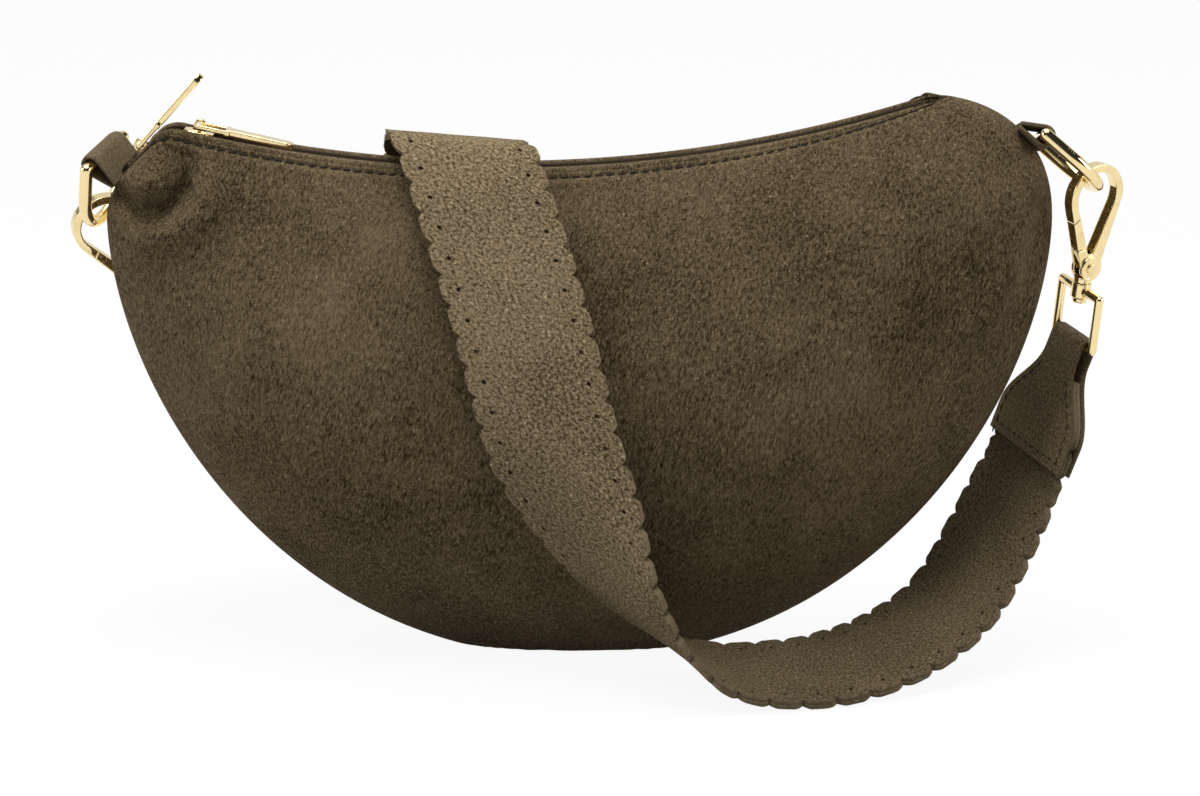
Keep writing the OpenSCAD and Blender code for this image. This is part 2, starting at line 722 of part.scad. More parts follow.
// The tab of each ring, folded round the ring's bar and sewn into the corner of the bag
module ring_tab(c, l, way) {
    r = ring_wire_r + lay_gap + suede_t / 2;
    line = hairpin(l, r, suede_t / 2);
    to_bar = upright(way, c[1]);
    folded_strip(line, suede_t, c[0] - l * to_bar, to_bar, c[1], cross(to_bar, c[1]),
        [for (q = line) tab_w / 2]);
}
module right_ring_tab() {
    color([0.38, 0.32, 0.24]) ring_tab(right, right_tab_l, right_tab_way);
}
module left_ring_tab() {
    color([0.38, 0.32, 0.24]) ring_tab(left, left_tab_l, left_tab_way);
}

// A plate whose outline runs round two circles in the hook's plane, drawn as [x, z]
function arc_points(c, r, from, to) = [for (k = [0 : arc_steps])
    c + r * [cos(blend(from, to, k / arc_steps)), sin(blend(from, to, k / arc_steps))]];
module drop_shape(c1, r1, c2, r2, h) {
    d = c1 - c2;
    lean = atan2(d[1], d[0]);
    open = acos((r2 - r1) / norm(d));
    rotate([90, 0, 0])
        translate([0, 0, -h / 2])
            linear_extrude(h)
                polygon(concat(
                    arc_points(c1, r1, lean - open, lean + open),
                    arc_points(c2, r2, lean + open, lean + 360 - open)
                ));
}
module hook_ring(t) {
    difference() {
        drop_shape([0, eye_z], hook_r, [boss_x, boss_z], boss_r - boss_step, t);
        drop_shape([0, eye_z], hook_r - limb_w, [crotch_x, crotch_z], crotch_r, t + overrun);
    }
}
// The stretch of the left limb that the gate closes, drawn as [x, z] between two slanted lines;
// the upper one leans so that the gate's tip leaves the nose as it swings in
module gate_zone(t, shrink, inner_x) {
    outer_x = -2 * hook_r;
    rotate([90, 0, 0])
        translate([0, 0, -t / 2])
            linear_extrude(t)
                polygon([
                    [outer_x, gate_low_z + gate_low_slope * outer_x + shrink],
                    [inner_x, gate_low_z + gate_low_slope * inner_x + shrink],
                    [inner_x, split_z + split_slope * inner_x - shrink],
                    [outer_x, split_z + split_slope * outer_x - shrink]
                ]);
}
module hook_slot() {
    translate([boss_x - 2 * boss_r, -slot_w / 2, boss_z - tongue_r - gate_clear - spring_wire_r])
        cube([2 * boss_r + tongue_r + gate_clear, slot_w, 2 * boss_r]);
    translate([boss_x - 2 * boss_r, -slot_w / 2, boss_z])
        cube([2 * boss_r + crotch_x - boss_x, slot_w, tongue_end_z + limb_w / 2 - boss_z]);
}
module hook_body() {
    difference() {
        union() {
            difference() {
                hook_ring(limb_t);
                gate_zone(limb_t + overrun, 0, crotch_x);
            }
            translate([boss_x, 0, boss_z])
                rotate([90, 0, 0])
                    cylinder(h = boss_t, r = boss_r, center = true);
        }
        hook_slot();
        translate([boss_x, 0, boss_z])
            rotate([90, 0, 0])
                cylinder(h = boss_t + overrun, r = rivet_r, center = true);
    }
    cylinder(h = boss_z - tongue_r - gate_clear - spring_wire_r - suede_t / 2, r = foot_r);
    translate([0, 0, -collar_h - 2 * collar_gap])
        cylinder(h = collar_h + 2 * collar_gap + overrun, r = post_r);
    translate([0, 0, -collar_h - 2 * collar_gap - cap_t])
        cylinder(h = cap_t, r = cap_r);
}
module gate() {
    difference() {
        union() {
            intersection() {
                hook_ring(limb_t);
                gate_zone(limb_t + overrun, gate_clear, gate_inner_x);
            }
            intersection() {
                drop_shape([boss_x, boss_z], tongue_r,
                    [-boss_r, tongue_end_z], limb_w / 2, tongue_t);
                translate([-2 * hook_r, -tongue_t, 0])
                    cube([4 * hook_r, 2 * tongue_t, 2 * eye_z]);
            }
        }
        translate([boss_x, 0, boss_z])
            rotate([90, 0, 0])
                cylinder(h = limb_t + overrun, r = rivet_r + run_gap, center = true);
    }
}
module gate_rivet() {
    translate([boss_x, 0, boss_z])
        rotate([90, 0, 0]) {
            cylinder(h = boss_t, r = rivet_r, center = true);
            for (side = [0, 1])
                mirror([0, 0, side])
                    translate([0, 0, boss_t / 2])
                        cylinder(h = rivet_head_t, r = rivet_head_r);
        }
}
// One turn of wire beside the tongue, round the rivet
module gate_spring() {
    translate([boss_x, (tongue_t + slot_w) / 4, boss_z])
        rotate([90, 0, 0])
            rotate_extrude(angle = spring_turn)
                translate([spring_r, 0])
                    circle(r = spring_wire_r);
}
module swivel_loop() {
    half = loop_in_w / 2 + loop_wire_r;
    top_z = -collar_gap - collar_h / 2;
    difference() {
        union() {
            translate([0, 0, -collar_gap - collar_h])
                cylinder(h = collar_h, r = collar_r);
            translate([0, 0, top_z])
                rotate([0, 90, 0])
                    cylinder(h = 2 * half, r = loop_wire_r, center = true);
        }
        translate([0, 0, -collar_gap - collar_h - overrun])
            cylinder(h = collar_h + 2 * overrun, r = post_r + run_gap);
    }
    for (side = [-1, 1])
        translate([side * half, 0, 0]) {
            translate([0, 0, -loop_drop])
                cylinder(h = top_z + loop_drop, r = loop_wire_r);
            translate([0, 0, top_z])
                sphere(r = loop_wire_r);
            translate([0, 0, -loop_drop])
                sphere(r = loop_wire_r);
        }
    translate([0, 0, -loop_drop])
        rotate([0, 90, 0])
            cylinder(h = 2 * half, r = loop_wire_r, center = true);
}
module in_hook_frame(c) {
    in_frame(c[3], c[4], c[5], c[6]) children();
}
module in_loop_frame(c) {
    in_frame(c[3], c[7], cross(c[6], c[7]), c[6]) children();
}
module right_hook() {
    color([0.83, 0.69, 0.42]) in_hook_frame(right) hook_body();
}
module left_hook() {
    color([0.83, 0.69, 0.42]) in_hook_frame(left) hook_body();
}
module right_gate() {
    color([0.86, 0.73, 0.46]) in_hook_frame(right) gate();
}
module left_gate() {
    color([0.86, 0.73, 0.46]) in_hook_frame(left) gate();
}
module right_gate_rivet() {
    color([0.78, 0.64, 0.38]) in_hook_frame(right) gate_rivet();
}
module left_gate_rivet() {
    color([0.78, 0.64, 0.38]) in_hook_frame(left) gate_rivet();
}
module right_gate_spring() {
    color([0.7, 0.7, 0.7]) in_hook_frame(right) gate_spring();
}
module left_gate_spring() {
    color([0.7, 0.7, 0.7]) in_hook_frame(left) gate_spring();
}
module right_swivel_loop() {
    color([0.83, 0.69, 0.42]) in_loop_frame(right) swivel_loop();
}
module left_swivel_loop() {
    color([0.83, 0.69, 0.42]) in_loop_frame(left) swivel_loop();
}

// The strap's middle line and the direction across it, straight inside the end pieces
end_line_shares = [0, 0.5, 1, 1.35];
function end_line(c) = [for (k = end_line_shares)
    c[8] + c[9] * blend(strap_start, end_piece_l + suede_t, k)];
left_across = -left[7];
strap_stations = concat(
    end_line(right),
    [for (p = strap_route_shares) placed(p)],
    [for (k = [3 : -1 : 0]) end_line(left)[k]]
);
across_stations = concat(
    [for (k = end_line_shares) right[7]],
    strap_across,
    [for (k = end_line_shares) left_across]
);
function spline(p, i, f) =
    let (
        a = p[max(i - 1, 0)], b = p[i], c = p[i + 1], d = p[min(i + 2, len(p) - 1)]
    )
    0.5 * (2 * b + (c - a) * f + (2 * a - 5 * b + 4 * c - d) * f * f + (3 * b - a - 3 * c + d) * f * f * f);
spans = len(strap_stations) - 1;
function sampled(p) = concat(
    [for (i = [0 : spans - 1], k = [0 : steps_per_span - 1]) spline(p, i, k / steps_per_span)],
    [p[spans]]
);
middle_line = sampled(strap_stations);
across_line = sampled(across_stations);
middle_s = along(middle_line);
strap_l = middle_s[len(middle_s) - 1];
scallops = round(strap_l / scallop_l);
middle_tables = [for (k = [0 : 2]) column(middle_line, middle_s, k)];
across_tables = [for (k = [0 : 2]) column(across_line, middle_s, k)];
function seek(tables, s) = [for (k = [0 : 2]) lookup(s, tables[k])];
reach_s = strap_l / scallops / steps_per_scallop;
function strap_way(s) =
    unit(seek(middle_tables, min(strap_l, s + reach_s)) - seek(middle_tables, max(0, s - reach_s)));

// Half width of an end piece at a distance from the loop's bar
function flare(a) = min(1, max(0, (a - flare_from) / (flare_to - flare_from)));
function end_half(a) = blend(neck_w, strap_w, pow(sin(90 * flare(a)), 2)) / 2;
function scallop_half(share) = strap_w / 2 - scallop_d * (1 - sqrt(max(0, 1 - pow(2 * share - 1, 2))));
function strap_half(i) =
    let (
        share = (i % steps_per_scallop) / steps_per_scallop,
        s = i * reach_s,
        from_end = min(s, strap_l - s) + strap_start
    )
    min(scallop_half(share), end_half(from_end) - cover_margin);
function strap_edge(i, w_side, offset) =
    let (
        s = i * reach_s,
        way = strap_way(s),
        raw = unit(seek(across_tables, s)),
        lean = raw * way,
        across = raw / sqrt(max(least_upright, 1 - lean * lean)),
        face = unit(cross(raw, way))
    )
    seek(middle_tables, s) + across * (w_side * strap_half(i)) + face * offset;
module strap_layer(low, high) {
    steps = scallops * steps_per_scallop;
    function face_at(offset) = [for (i = [0 : steps]) [strap_edge(i, -1, offset), strap_edge(i, 1, offset)]];
    thick_sheet(face_at(low), face_at(high));
}
module strap_outer_layer() {
    color([0.43, 0.37, 0.28]) strap_layer(0, strap_layer_t);
}
module strap_inner_layer() {
    color([0.39, 0.34, 0.26]) strap_layer(-strap_layer_t, 0);
}

// An end piece: a suede strip folded round the loop's bar with the strap sewn between its leaves
module strap_end(c) {
    r = loop_wire_r + lay_gap + suede_t / 2;
    line = hairpin(end_piece_l, r, strap_t / 2 + suede_t / 2 + lay_gap / 2);
    folded_strip(line, suede_t, c[8] + end_piece_l * c[9], -c[9], c[7], cross(-c[9], c[7]),
        [for (q = line) end_half(end_piece_l - q[0])]);
}
module right_strap_end() {
    color([0.41, 0.36, 0.27]) strap_end(right);
}
module left_strap_end() {
    color([0.41, 0.36, 0.27]) strap_end(left);
}

front_panel();
back_panel();
lining_front();
lining_back();
zip_tape_front();
zip_tape_back();
zip_teeth_front();
zip_teeth_back();
zip_end_stops();
parked_slider();
parked_puller();
running_slider();
running_puller();
right_ring_tab();
left_ring_tab();
right_d_ring();
left_d_ring();
right_hook();
left_hook();
right_gate();
left_gate();
right_gate_rivet();
left_gate_rivet();
right_gate_spring();
left_gate_spring();
right_swivel_loop();
left_swivel_loop();
strap_outer_layer();
strap_inner_layer();
right_strap_end();
left_strap_end();
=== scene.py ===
# Half moon suede bag with a recessed zip and a scalloped strap on swivel hooks
import json
import math

import bmesh
import bpy
import numpy as np
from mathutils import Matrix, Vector, noise
from mathutils.geometry import delaunay_2d_cdt


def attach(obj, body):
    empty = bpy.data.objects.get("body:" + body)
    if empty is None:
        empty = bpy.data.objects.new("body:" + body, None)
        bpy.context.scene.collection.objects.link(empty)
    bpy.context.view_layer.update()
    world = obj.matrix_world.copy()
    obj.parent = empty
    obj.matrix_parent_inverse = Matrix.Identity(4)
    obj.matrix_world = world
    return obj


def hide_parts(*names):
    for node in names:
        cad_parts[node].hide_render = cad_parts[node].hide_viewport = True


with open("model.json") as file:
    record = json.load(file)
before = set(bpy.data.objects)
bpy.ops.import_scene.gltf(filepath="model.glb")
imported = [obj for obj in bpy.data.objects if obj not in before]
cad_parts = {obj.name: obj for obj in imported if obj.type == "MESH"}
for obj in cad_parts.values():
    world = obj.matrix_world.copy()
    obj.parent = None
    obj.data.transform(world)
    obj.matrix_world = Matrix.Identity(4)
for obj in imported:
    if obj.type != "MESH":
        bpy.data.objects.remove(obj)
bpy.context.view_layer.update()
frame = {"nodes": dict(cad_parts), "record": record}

# Lengths are in millimetres, as in the part's source, and meshes are made in metres
MM = 0.001

# The bag's outline, seen from the front
HALF_W = 155.5
WIDEST_Z = 145.0
SEAM_DROP = 150.5
MOON_POWERS = (2.1, 1.75)  # how square the moon is across and upwards
RIGHT_SHOULDER_W = 45.3
LEFT_SHOULDER_W = 35.3
SHOULDER_CROWN = 2.0
SHOULDER_POWER = 2.3
LEFT_SEAM_SHARE = 0.807
RIGHT_SEAM_SHARE = 0.243

# Its depth and its layers
HALF_DEPTH = 37.5
SUEDE_T = 1.4
LAY_GAP = 0.3
RIM_FOLD = 10.0
RIM_GAP = 10.0
RIM_Y = RIM_GAP / 2 + 2 * SUEDE_T
FULLEST = 0.42
PANEL_BULGE = HALF_DEPTH - RIM_Y * math.sqrt(1 - (1 - FULLEST) ** 2)
LINING_T = 0.45
LINING_IN = 1.9
LINING_SEAM_IN = 6.2

# The zip: a straight end at the left, a tight turn, and a long hanging arc
ZIP_R = 450.0
ZIP_LOW_X = -24.0
ZIP_LOW_Z = 164.0
ZIP_RIGHT_INSET = 43.5
ZIP_LEFT_INSET = 25.7
ZIP_TURN_R = 9.0
ZIP_END_SLOPE = math.radians(48)
ZIP_END_LEN = 12.0
CHAIN_DEPTH = 2.6
TAPE_T = 0.5
TAPE_EDGE = 0.9
TAPE_BEND_Y = 2.6
TAPE_TOP_D = 0.8
TAPE_MID_D = 4.0
TAPE_LOW_D = 8.0

# How the halves close behind the zip's right end
CLOSE_REACH = 0.92
CLOSE_SHUT = 0.94
CLOSE_SHARES = np.linspace(0, 1, 13)[1:]

# The tabs, and the hardware that soft pieces hang on
RING_WIRE_R = 2.1
RING_DROP = 24.0
TAB_W = 20.0
SEAT_Z = 33.1
SEAT_X = 0.6
LOOP_WIRE_R = 1.5
LOOP_DROP = 20.5

# The strap
STRAP_W = 45.0
LAYER_T = 1.2
BACKING_TRIM = 0.35
SCALLOP_L = 10.3
SCALLOP_D = 2.7
END_L = 41.0
NECK_W = 19.0
STRAP_START = 12.0
FLARE_FROM = 6.0
FLARE_TO = 31.0
HOLE_R = 0.75
HOLE_IN = 6.2
HOLE_CORNERS = 8
FACE_SHIFT = 60.0  # how far apart the two faces of a layer lie on the nap's pattern

# The stitches
STITCH_DROP = 3.3
END_STITCH_IN = 3.0
END_STITCH_SHARE = 0.66


# General functions
def unit(v):
    v = np.asarray(v, float)
    return v / np.linalg.norm(v, axis=-1, keepdims=True)


def mix(a, b, t):
    return a + (b - a) * t


def upright(v, axis):
    """The way of v that stands square on an axis."""
    v = np.asarray(v, float)
    return unit(v - (v @ axis) * axis)


def tangent(a):
    return np.stack([np.cos(a), np.sin(a)], -1)


def normal(a):
    return np.stack([-np.sin(a), np.cos(a)], -1)


def in_space(xz, y, low=-math.inf):
    """Points [x, y, z] from places [x, z] and their y, none below a height."""
    y = np.broadcast_to(y, xz.shape[:-1])
    return np.stack([xz[..., 0], y, np.maximum(xz[..., 1], low)], -1)


def run_of(points):
    """Length of a line of points up to each point."""
    steps = np.linalg.norm(np.diff(points, axis=0), axis=1)
    return np.concatenate([[0], np.cumsum(steps)])


def eased(count):
    """Shares from 0 to 1 that crowd at both ends."""
    return 0.5 * (1 - np.cos(math.pi * np.linspace(0, 1, count)))


def bell(distance, width):
    return np.exp(-((distance / width) ** 2))


def lumps(places, layer, size, seed):
    """Smooth noise from -1 to 1 over flat places, with lumps of about one size."""
    shift = Vector((seed * 13.1, seed * 7.7, seed * 3.3))
    flat = places.reshape(-1, 2) / size
    values = [noise.noise(Vector((a, b, layer / size)) + shift) for a, b in flat]
    return np.array(values).reshape(places.shape[:-1])


# The zip's path and the seam, as places [x, z]
ZIP_CENTRE = np.array([ZIP_LOW_X, ZIP_LOW_Z + ZIP_R])
ARC_RIGHT = math.asin((HALF_W - ZIP_RIGHT_INSET - ZIP_LOW_X) / ZIP_R)
ARC_LEFT = math.asin((ZIP_LEFT_INSET - HALF_W - ZIP_LOW_X) / ZIP_R)
TURN_CENTRE = ZIP_CENTRE - (ZIP_R + ZIP_TURN_R) * normal(np.array(ARC_LEFT))
TURN_LEN = ZIP_TURN_R * (ZIP_END_SLOPE - ARC_LEFT)
ARC_FROM = ZIP_END_LEN + TURN_LEN
PATH_LEN = ARC_FROM + ZIP_R * (ARC_RIGHT - ARC_LEFT)


def zip_tilt(s):
    """How steep the path is, s along it."""
    on_turn = ZIP_END_SLOPE - (s - ZIP_END_LEN) / ZIP_TURN_R
    on_arc = ARC_LEFT + (s - ZIP_END_LEN - TURN_LEN) / ZIP_R
    return np.where(s < ZIP_END_LEN, ZIP_END_SLOPE, np.where(s < ARC_FROM, on_turn, on_arc))


def zip_point(s, d):
    """Place on the zip's path, s along it and d below the rims."""
    s = np.asarray(s, float)
    tilt = zip_tilt(s)
    end = np.array(ZIP_END_SLOPE)
    end_start = TURN_CENTRE + (ZIP_TURN_R - d) * normal(end)
    straight = end_start - (ZIP_END_LEN - s)[..., None] * tangent(end)
    turn = TURN_CENTRE + (ZIP_TURN_R - d) * normal(tilt)
    arc = ZIP_CENTRE - (ZIP_R + d) * normal(tilt)
    where = s[..., None]
    return np.where(where < ZIP_END_LEN, straight, np.where(where < ARC_FROM, turn, arc))


ZIP_LEFT, ZIP_RIGHT = zip_point(0.0, 0), zip_point(PATH_LEN, 0)
LEFT_RISE = (1 - LEFT_SEAM_SHARE**SHOULDER_POWER) ** (1 / SHOULDER_POWER)
LEFT_SHOULDER_H = (ZIP_LEFT[1] - 3 * SUEDE_T - WIDEST_Z) / LEFT_RISE
RIGHT_SHOULDER_H = ZIP_RIGHT[1] + SHOULDER_CROWN - WIDEST_Z


def arch(centre_x, half_w, height, phi, powers=(SHOULDER_POWER, SHOULDER_POWER)):
    """Places on a squarish arch above or below the bag's widest height, at the angles phi."""
    c, s = np.cos(phi), np.sin(phi)
    x = centre_x + half_w * np.sign(c) * np.abs(c) ** (2 / powers[0])
    z = WIDEST_Z + height * np.sign(s) * np.abs(s) ** (2 / powers[1])
    return np.stack([x, z], -1)


def right_shoulder(phi):
    return arch(HALF_W - RIGHT_SHOULDER_W, RIGHT_SHOULDER_W, RIGHT_SHOULDER_H, phi)


def seam_curve():
    """The seam from the zip's left end over the shoulder, round the moon, and up at the right."""
    left_phi = math.acos(-(LEFT_SEAM_SHARE ** (SHOULDER_POWER / 2)))
    right_phi = math.acos(RIGHT_SEAM_SHARE ** (SHOULDER_POWER / 2))
    left = arch(LEFT_SHOULDER_W - HALF_W, LEFT_SHOULDER_W, LEFT_SHOULDER_H,
                np.linspace(left_phi, math.pi, 60, endpoint=False))
    moon = arch(0, HALF_W, SEAM_DROP, np.linspace(math.pi, math.tau, 400, endpoint=False),
                MOON_POWERS)
    return np.concatenate([left, moon, right_shoulder(np.linspace(0, right_phi, 61))])


SEAM = seam_curve()
SEAM_RUN = run_of(SEAM)


def seam(u):
    """Place on the seam at the share u of its length."""
    at = np.asarray(u, float) * SEAM_RUN[-1]
    return np.stack([np.interp(at, SEAM_RUN, SEAM[:, k]) for k in (0, 1)], -1)


def rays(us):
    """From the rim to the seam at each share: the rim's place, the reach, and the way down."""
    rim, foot = zip_point(us * PATH_LEN, 0), seam(us)
    reach = np.linalg.norm(rim - foot, axis=-1)
    return rim, reach, (foot - rim) / reach[:, None]


def rise(v):
    return np.sqrt(np.clip(1 - (1 - v) ** 2, 0, None))


def swell(v):
    low = np.sin(0.5 * math.pi * np.clip(v, 0, FULLEST) / FULLEST) ** 0.6
    high = np.cos(0.5 * math.pi * (v - FULLEST) / (1 - FULLEST))
    return np.where(v < FULLEST, low, high)


def fullness(us):
    """How much the face bulges along the bag, falling off more slowly at the right."""
    left = np.clip(1 - (1 - 2 * us) ** 2, 0, None) ** 1.2
    right = np.clip(1 - np.abs(2 * us - 1) ** 3, 0, None) ** 1.2
    return np.where(us < 0.5, left, right)


def face_depth(full, v):
    """How far the plain face stands from the middle, v of the way from seam to rim."""
    return RIM_Y * rise(v) + PANEL_BULGE * full * swell(v)


# Meshes and pieces
def new_object(name, data):
    obj = bpy.data.objects.new(name, data)
    bpy.context.scene.collection.objects.link(obj)
    return obj


def make_piece(name, points, faces, materials, face_materials=None, uv=None, sharp=None):
    """A closed mesh from points in millimetres; uv gives one [u, v] for each point."""
    mesh = bpy.data.meshes.new(name)
    mesh.from_pydata((np.asarray(points) * MM).tolist(), [], faces)
    for material in materials:
        mesh.materials.append(material)
    if face_materials is not None:
        mesh.polygons.foreach_set("material_index", face_materials)
    mesh.shade_smooth()
    if uv is not None:
        layer = mesh.uv_layers.new(name="run")
        corner = np.empty(len(mesh.loops), np.int32)
        mesh.loops.foreach_get("vertex_index", corner)
        layer.data.foreach_set("uv", (np.asarray(uv) * MM)[corner].ravel())
    if sharp is not None:
        mesh.set_sharp_from_angle(angle=sharp)
    mesh.validate()
    mesh.update()
    turn_out(mesh)
    return new_object(name, mesh)


def turn_out(mesh):
    """Makes a closed mesh's faces point outwards."""
    bm = bmesh.new()
    bm.from_mesh(mesh)
    bmesh.ops.recalc_face_normals(bm, faces=bm.faces)
    bm.to_mesh(mesh)
    bm.free()


def tube(grid):
    """Points and faces of a closed tube: grid[i, j] goes round in j, with flat ends."""
    rows, cols = grid.shape[:2]
    faces = []
    for i in range(rows - 1):
        for j in range(cols):
            a, b = i * cols + j, i * cols + (j + 1) % cols
            faces.append((a, b, b + cols, a + cols))
    faces.append(tuple(range(cols))[::-1])
    faces.append(tuple((rows - 1) * cols + j for j in range(cols)))
    return grid.reshape(-1, 3), faces


def belongs(piece, node=None):
    """A piece moves with the bag, and may stand for a node, which it hides."""
    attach(piece, "bag")
    if node:
        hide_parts(node)


# Node helpers
def connect(tree, node, inputs):
    """Links or sets a node's inputs, by name or number."""
    for key, value in inputs.items():
        if isinstance(value, bpy.types.NodeSocket):
            tree.links.new(value, node.inputs[key])
        else:
            node.inputs[key].default_value = value


def put(tree, kind, inputs=None, **props):
    """Adds a node, sets its properties, and links or sets its inputs."""
    node = tree.nodes.new(kind)
    for key, value in props.items():
        setattr(node, key, value)
    connect(tree, node, inputs or {})
    return node


def first(tree, kind, inputs=None, **props):
    """The first output of a new node."""
    return put(tree, kind, inputs, **props).outputs[0]


def group(name, inputs, outputs, kind="ShaderNodeTree"):
    """A node group with named inputs (name, type, value) and outputs (name, type)."""
    tree = bpy.data.node_groups.new(name, kind)
    for label, held, value in inputs:
        made = tree.interface.new_socket(
            name=label, in_out="INPUT", socket_type="NodeSocket" + held)
        if value is not None:
            made.default_value = value
    for label, held in outputs:
        tree.interface.new_socket(name=label, in_out="OUTPUT", socket_type="NodeSocket" + held)
    return tree, put(tree, "NodeGroupInput").outputs, put(tree, "NodeGroupOutput")


def math_node(tree, operation, a, b=0.0, clamp=False):
    return first(tree, "ShaderNodeMath", {0: a, 1: b}, operation=operation, use_clamp=clamp)


def plus(tree, a, b):
    return math_node(tree, "ADD", a, b)


def times(tree, a, b):
    return math_node(tree, "MULTIPLY", a, b)


def most(tree, a, b):
    return math_node(tree, "MAXIMUM", a, b)


def centred(tree, value):
    """A value about 0.5 turned into one about 0."""
    return math_node(tree, "SUBTRACT", value, 0.5)


def mix_colour(tree, share, a, b):
    return put(tree, "ShaderNodeMix", {0: share, 6: a, 7: b}, data_type="RGBA").outputs[2]


def mix_value(tree, share, a, b):
    return first(tree, "ShaderNodeMapRange", {0: share, 3: a, 4: b})


def ramp(tree, value, low, high, kind="SMOOTHSTEP"):
    """Goes from 0 to 1 as a value goes from low to high."""
    return first(tree, "ShaderNodeMapRange", {0: value, 1: low, 2: high}, interpolation_type=kind)


def noise_at(tree, vector, scale, detail=2.0, rough=0.5, swirl=0.0):
    return first(tree, "ShaderNodeTexNoise", {
        "Vector": vector, "Scale": scale, "Detail": detail, "Roughness": rough,
        "Distortion": swirl})


def linear(srgb):
    """Colour written as an eye sees it, 0 to 255, turned into the shader's own numbers."""
    levels = [c / 255 for c in srgb]
    return tuple(((c + 0.055) / 1.055) ** 2.4 if c > 0.04 else c / 12.92 for c in levels) + (1.0,)


# Shader groups
def nap_group():
    """Brushed suede: leaning fibres, pale specks, dark pits, and broad marks of a hand."""
    tree, ins, out = group("brushed nap", [
        ("Vector", "Vector", None), ("Fibre Scale", "Vector", (1, 1, 1)), ("Lean", "Float", 0.0),
        ("Deep", "Color", None), ("Body", "Color", None), ("Tip", "Color", None),
        ("Contrast", "Float", 1.0), ("Marks", "Float", 0.7), ("Tips", "Float", 0.5),
        ("Speck Scale", "Float", 900.0)],
        [("Color", "Color"), ("Height", "Float"), ("Roughness", "Float")])
    vector = ins["Vector"]
    turned = first(tree, "ShaderNodeVectorRotate", {"Vector": vector, "Angle": ins["Lean"]},
                   rotation_type="Y_AXIS")
    leaning = first(tree, "ShaderNodeVectorMath", {0: turned, 1: ins["Fibre Scale"]},
                    operation="MULTIPLY")
    fibre = noise_at(tree, leaning, 1.0, detail=5.0, rough=0.72, swirl=0.25)
    fine = noise_at(tree, leaning, 3.1, detail=3.0, rough=0.7)
    brushed = noise_at(tree, vector, 36.0, detail=3.0, rough=0.6, swirl=0.4)
    broad = noise_at(tree, vector, 11.0)
    speck = noise_at(tree, vector, ins["Speck Scale"], detail=1.0)
    body = plus(tree, times(tree, fibre, 0.6), times(tree, fine, 0.4))
    level = ramp(tree, body, 0.25, 0.75, "LINEAR")
    strong = times(tree, centred(tree, level), ins["Contrast"])
    marks = plus(tree, times(tree, centred(tree, brushed), 0.8), centred(tree, broad))
    shade = plus(tree, strong, times(tree, marks, ins["Marks"]))
    colour = mix_colour(tree, math_node(tree, "ADD", shade, 0.5, True), ins["Deep"], ins["Body"])
    tip = times(tree, ramp(tree, speck, 0.62, 0.74), ramp(tree, fibre, 0.42, 0.62))
    raised = plus(tree, body, times(tree, speck, 0.5))
    connect(tree, out, {
        "Color": mix_colour(tree, times(tree, tip, ins["Tips"]), colour, ins["Tip"]),
        "Height": plus(tree, raised, times(tree, brushed, 0.4)),
        "Roughness": mix_value(tree, level, 0.98, 0.85)})
    return tree


def weave_group():
    """Plain weave: two crossed sets of threads, worn in patches."""
    tree, ins, out = group("plain weave", [
        ("Vector", "Vector", None), ("Thread Scale", "Float", 1400.0),
        ("Thread", "Color", None), ("Gap", "Color", None)],
        [("Color", "Color"), ("Height", "Float")])
    ways = put(tree, "ShaderNodeSeparateXYZ", {0: ins["Vector"]}).outputs
    waves = [math_node(tree, "ABSOLUTE", math_node(
        tree, "SINE", times(tree, ways[axis], ins["Thread Scale"]))) for axis in (0, 1)]
    height = times(tree, *waves)
    worn = times(tree, centred(tree, noise_at(tree, ins["Vector"], 60.0, detail=3.0)), 0.6)
    share = math_node(tree, "ADD", height, worn, True)
    connect(tree, out, {"Color": mix_colour(tree, share, ins["Gap"], ins["Thread"]),
                        "Height": height})
    return tree


def wear_group():
    """Polished metal: faint clouding and hairline scratches."""
    tree, ins, out = group("handled metal", [
        ("Vector", "Vector", None), ("Bright", "Color", None), ("Dull", "Color", None),
        ("Smooth", "Float", 0.08), ("Rough", "Float", 0.24)],
        [("Color", "Color"), ("Roughness", "Float"), ("Height", "Float")])
    drawn_out = first(tree, "ShaderNodeMapping", {
        "Vector": ins["Vector"], "Scale": (2600, 300, 900)})
    scratch = ramp(tree, noise_at(tree, drawn_out, 1.0), 0.62, 0.7)
    cloud = ramp(tree, noise_at(tree, ins["Vector"], 220.0, detail=3.0), 0.42, 0.72)
    share = most(tree, times(tree, cloud, 0.55), times(tree, scratch, 0.5))
    connect(tree, out, {
        "Color": mix_colour(tree, share, ins["Bright"], ins["Dull"]),
        "Roughness": mix_value(tree, share, ins["Smooth"], ins["Rough"]),
        "Height": times(tree, scratch, -1.0)})
    return tree


NAP, WEAVE, WEAR = nap_group(), weave_group(), wear_group()


# Materials
def new_material(name):
    material = bpy.data.materials.new(name)
    material.use_nodes = True
    return material, material.node_tree, material.node_tree.nodes["Principled BSDF"]


def bumped(tree, height, distance, under=None):
    """A normal raised by a height, over a normal from under it."""
    inputs = {"Height": height, "Distance": distance, "Strength": 1.0}
    if under is not None:
        inputs["Normal"] = under
    return first(tree, "ShaderNodeBump", inputs)


